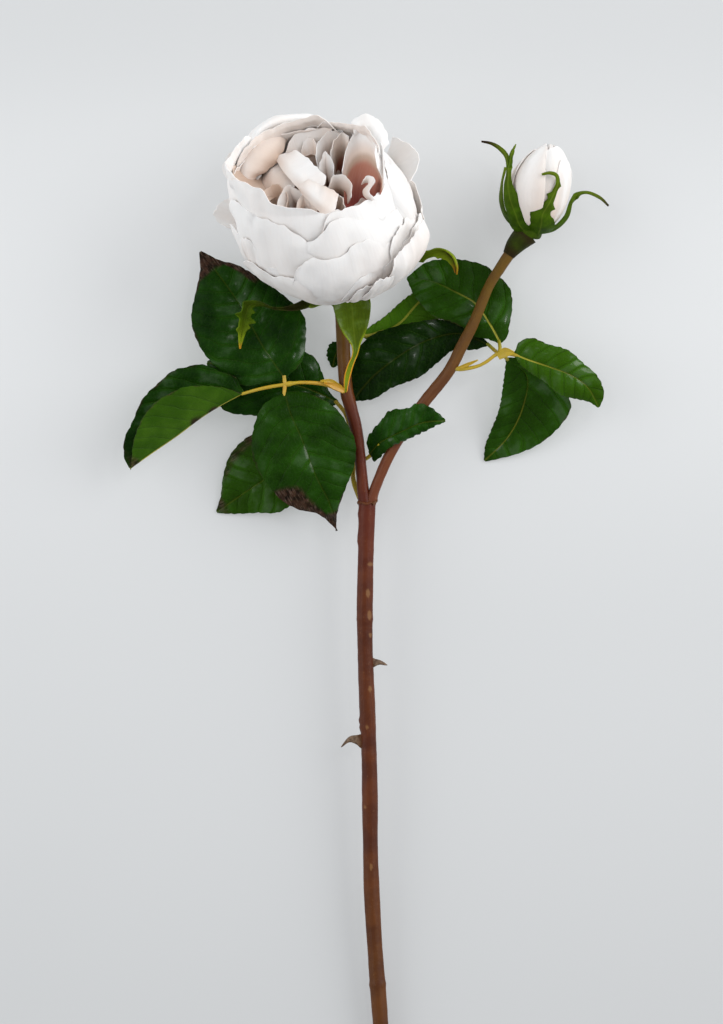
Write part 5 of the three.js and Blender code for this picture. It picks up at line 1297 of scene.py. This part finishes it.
budSepals = [
    {"points": [(66, 111.8, 21.8), (63.3, 114.8, 24.6), (61.8, 118.8, 26.8), (59.6, 124.8, 27.8),
         (58.6, 130.8, 27.2), (58.8, 136.8, 26), (57.8, 142.4, 24.8), (55, 145.6, 24), (51.8, 147.4, 23.4),
         (48, 148.2, 22.6)],
     "halfWidths": [3.6, 4.5, 4.3, 3.6, 2.2, 1.1, 0.8, 0.8, 0.7, 0.35],
     "facing": [(-0.3, -0.5, 0.9), (-0.4, -0.1, 0.9), (-0.35, 0, 0.94), (-0.2, 0.2, 0.9)],
     "burn": (0, 0, 0, 0, 0.1, 0.4, 1), "lobes": [(0.64, 1, 0.9), (0.36, 1, 0.9)]},
    {"points": [(58.9, 137.6, 25.9), (59.6, 141.4, 26), (60.4, 144.2, 26), (61.7, 147, 25.8)],
     "halfWidths": [0.9, 0.95, 0.6, 0.12], "facing": [(-0.2, 0, 1), (-0.2, 0, 1)], "burn": (0, 0, 0.2)},
    {"points": [(65, 112.2, 17), (58.6, 116.6, 15.5), (55.6, 124, 15), (56.2, 131.6, 15), (57.6, 138, 15.4)],
     "halfWidths": [2, 3, 2.8, 1.7, 0.5], "facing": [(-0.8, -0.4, 0.2), (-1, 0, 0), (-1, 0.1, 0)],
     "burn": (0, 0, 0.2)},
    {"points": [(70.8, 111.4, 22.4), (71.8, 114.8, 27), (72.4, 119, 29.8), (74.8, 123, 30.8),
         (76.9, 127.4, 31), (78.4, 131.6, 31.2), (77.8, 134.5, 31.8), (75, 135.5, 32.6), (72, 134.9, 33)],
     "halfWidths": [4.6, 5.9, 4.8, 2.5, 1.3, 0.9, 0.8, 0.6, 0.3],
     "facing": [(0, -0.7, 0.7), (0, -0.3, 1), (0.1, 0, 1), (0.1, 0, 1), (0, 0.5, 1)],
     "lobes": [(0.3, -1, 3.2), (0.44, 1, 1.6), (0.56, -1, 1.4), (0.7, 1, 0.8)], "burn": (0, 0, 0, 0.3)},
    {"points": [(70.6, 111.4, 18.2), (77, 112.8, 18.4), (82.4, 117.8, 18.8), (84.4, 124.4, 19.4),
         (86.8, 127.2, 20), (90.2, 128, 20.4), (95.6, 125.8, 20.6), (98.8, 122.4, 20.4)],
     "halfWidths": [2, 3.2, 2.8, 1.8, 1.4, 1.2, 0.9, 0.35],
     "facing": [(0.3, -1, 0.2), (0.8, -0.5, 0.2), (0.8, 0.3, 0.3), (0.2, 1, 0.4), (0.4, 0.8, 0.4)],
     "burn": (0, 0, 0, 0.2, 0.8)},
    {"points": [(68.2, 111.9, 15), (69.6, 113.6, 9), (72.4, 121, 5.2), (74, 129, 5.2), (75.6, 136, 6.8)],
     "halfWidths": [2.2, 4, 4, 2.4, 0.5], "facing": [(0, -0.7, -0.7), (0, -0.3, -1), (0, 0, -1)]},
]
budCalyx = Build()
share = np.linspace(0, 1, 34)
neck = rail(budNeck, share)
budCalyx.tube(neck, shares([2.5, 3.6, 4.4, 4.7], share), 32, ripe=0.05,
              burn=0.62 + 0.3 * ripple(neck, 4.0, 3.0)[:, None])
turned(budCalyx, budHip, inBud, 32, ripe=0.1, burn=0.3)
for number, sepal in enumerate(budSepals):
    ribbon(budCalyx, cup=-0.35, ripe=(0.05, 0.15, 0.3), seed=number + 1.0, **sepal)
budCalyx.finish("bud_sepals", "bud_calyx", "calyx", sepalLook, 60)
print("bud")


# the bract: its two edges in pixels, and the height of its middle
bractShape = {
    "left": [(344, 393), (344, 383), (345, 374.5), (348, 364.8), (352.4, 354.4), (351.6, 345.3),
        (343.4, 333.2), (338.2, 322.9), (333.2, 304), (334.5, 296)],
    "right": [(347, 393), (348, 386), (350.4, 375), (353.6, 364), (357.6, 354), (360.6, 343), (365.2, 332.6),
        (368.9, 320), (370.4, 304), (369, 296)],
    "height": [16, 17.6, 18.4, 19, 19.6, 20.2, 21.4, 22.4, 22],
}
bract = Build()
share = np.linspace(0, 1, 60)
leftEdge, rightEdge = [rail([place(*p)[:2] for p in bractShape[side]], share) for side in ("left", "right")]
s = np.linspace(-1, 1, 25)[None, :]
flat = (leftEdge[:, None] * (1 - s[..., None]) + rightEdge[:, None] * (1 + s[..., None])) / 2
half = np.linalg.norm(rightEdge - leftEdge, axis=1)[:, None] / 2
rise = shares(bractShape["height"], share)[:, None] - 0.35 * half * (1 - s ** 2) + 0.12 * half
bractGrid = np.concatenate([flat, rise[..., None]], axis=-1)
bractGrid[..., 2] += 0.3 * ripple(bractGrid, 6.0, 3.0)
# the lower edges turn yellow-green: partly their own colour, partly a painted highlight along the lit rims of
# the channel
yellowAndLitEdges = smoothstep(0.75, 1.0, np.abs(s)) * 0.6 * smoothstep(0.75, 0.4, share)[:, None]
bract.sheet(bractGrid, 0.6, ripe=0.2 + yellowAndLitEdges + 0.35 * smoothstep(0.5, 0.0, share)[:, None])
bract.finish("bract_spoon", "bract", "bract", bractLook, 60)
print("bract")


# surface, light and camera, in metres
# painted light: the floor is brightest in a band round the rose and darker towards the near edge, as light
# falls off on a backdrop
floorColors = {"near": (194, 196, 197), "middle": (211, 213, 214), "paintedLightBand": (223, 225, 226),
               "far": (209, 211, 212), "mottle": (236, 236, 238)}
studio = {
    "floorHalf": 4, "floorLevel": -0.0002, "floorGlow": 0.37, "floorDim": (0.62, 0.62, 0.62, 1.0),
    "worldColor": (0.97, 0.98, 1.0, 1.0), "worldStrength": 0.62,
    "lampAim": (0, 0.05, 0), "cameraHeight": 8.0, "cameraFloor": 0.02, "sensor": 36.0, "photoTall": 0.4096,
}
# place, size, power and colour
lamps = {
    "key": ((2.5, 1.3, 1.4), 3.0, 82, (1, 1, 1)),
    "fill": ((-2.5, 0.9, 1.3), 3.0, 45, (0.98, 0.99, 1.0)),
    "glint": ((0.9, 1.1, 3.0), 0.28, 4, (1, 1, 1)),
    "glint_left": ((-0.7, 0.7, 3.0), 0.28, 2.6, (1, 1, 1)),
}
scene = bpy.context.scene
half, level = studio["floorHalf"], studio["floorLevel"]
floorMesh = bpy.data.meshes.new("floor")
corners = [(-half, -half, level), (half, -half, level), (half, half, level), (-half, half, level)]
floorMesh.from_pydata(corners, [], [(0, 1, 2, 3)])
floor = bpy.data.objects.new("floor", floorMesh)
scene.collection.objects.link(floor)
floorPaint = Paint("floor_paper", floorColors)
spotY = floorPaint.node("ShaderNodeSeparateXYZ", None, {0: floorPaint.spot()}, out=1)
mottle = floorPaint.cloud(floorPaint.spot(), 3.0, 2.0)
paper = floorPaint.layers(floorPaint.mix(spotY.span(-0.24, 0.05), "near", "middle"),
                          (spotY.span(0.0, 0.14), "paintedLightBand"), (spotY.span(0.15, 0.26), "far"),
                          (mottle.span(0.3, 0.7) * 0.06, "mottle"))
# painted light: the floor glows with its own colour, which lifts the shadows the rose casts on it
dimmed = floorPaint.mix(1.0, paper, studio["floorDim"], "MULTIPLY")
floorMesh.materials.append(floorPaint.finish(color=dimmed, rough=0.9, spec=0.1, glow=paper,
                                             glowPower=studio["floorGlow"]))

world = bpy.data.worlds.new("studio")
scene.world = world
world.use_nodes = True
world.node_tree.nodes["Background"].inputs["Color"].default_value = studio["worldColor"]
world.node_tree.nodes["Background"].inputs["Strength"].default_value = studio["worldStrength"]
for name, (at, size, power, color) in lamps.items():
    data = bpy.data.lights.new(name, "AREA")
    data.shape, data.size, data.energy, data.color = "DISK", size, power, color
    lamp = bpy.data.objects.new(name, data)
    lamp.location = at
    lamp.rotation_euler = (Vector(studio["lampAim"]) - Vector(at)).to_track_quat("-Z", "Y").to_euler()
    scene.collection.objects.link(lamp)

# the camera is far up, so that the view is nearly parallel, and its picture is as tall as the photo
cameraData = bpy.data.cameras.new("camera")
cameraData.sensor_width = studio["sensor"]
cameraData.lens = studio["sensor"] * studio["cameraHeight"] / studio["photoTall"]
cameraData.clip_end = 50.0
camera = bpy.data.objects.new("camera", cameraData)
camera.location = (sketchShift[0] / 1000, sketchShift[1] / 1000,
                   studio["cameraHeight"] + studio["cameraFloor"])
scene.collection.objects.link(camera)
scene.camera = camera
scene.view_settings.view_transform = "Standard"
print("light and camera")
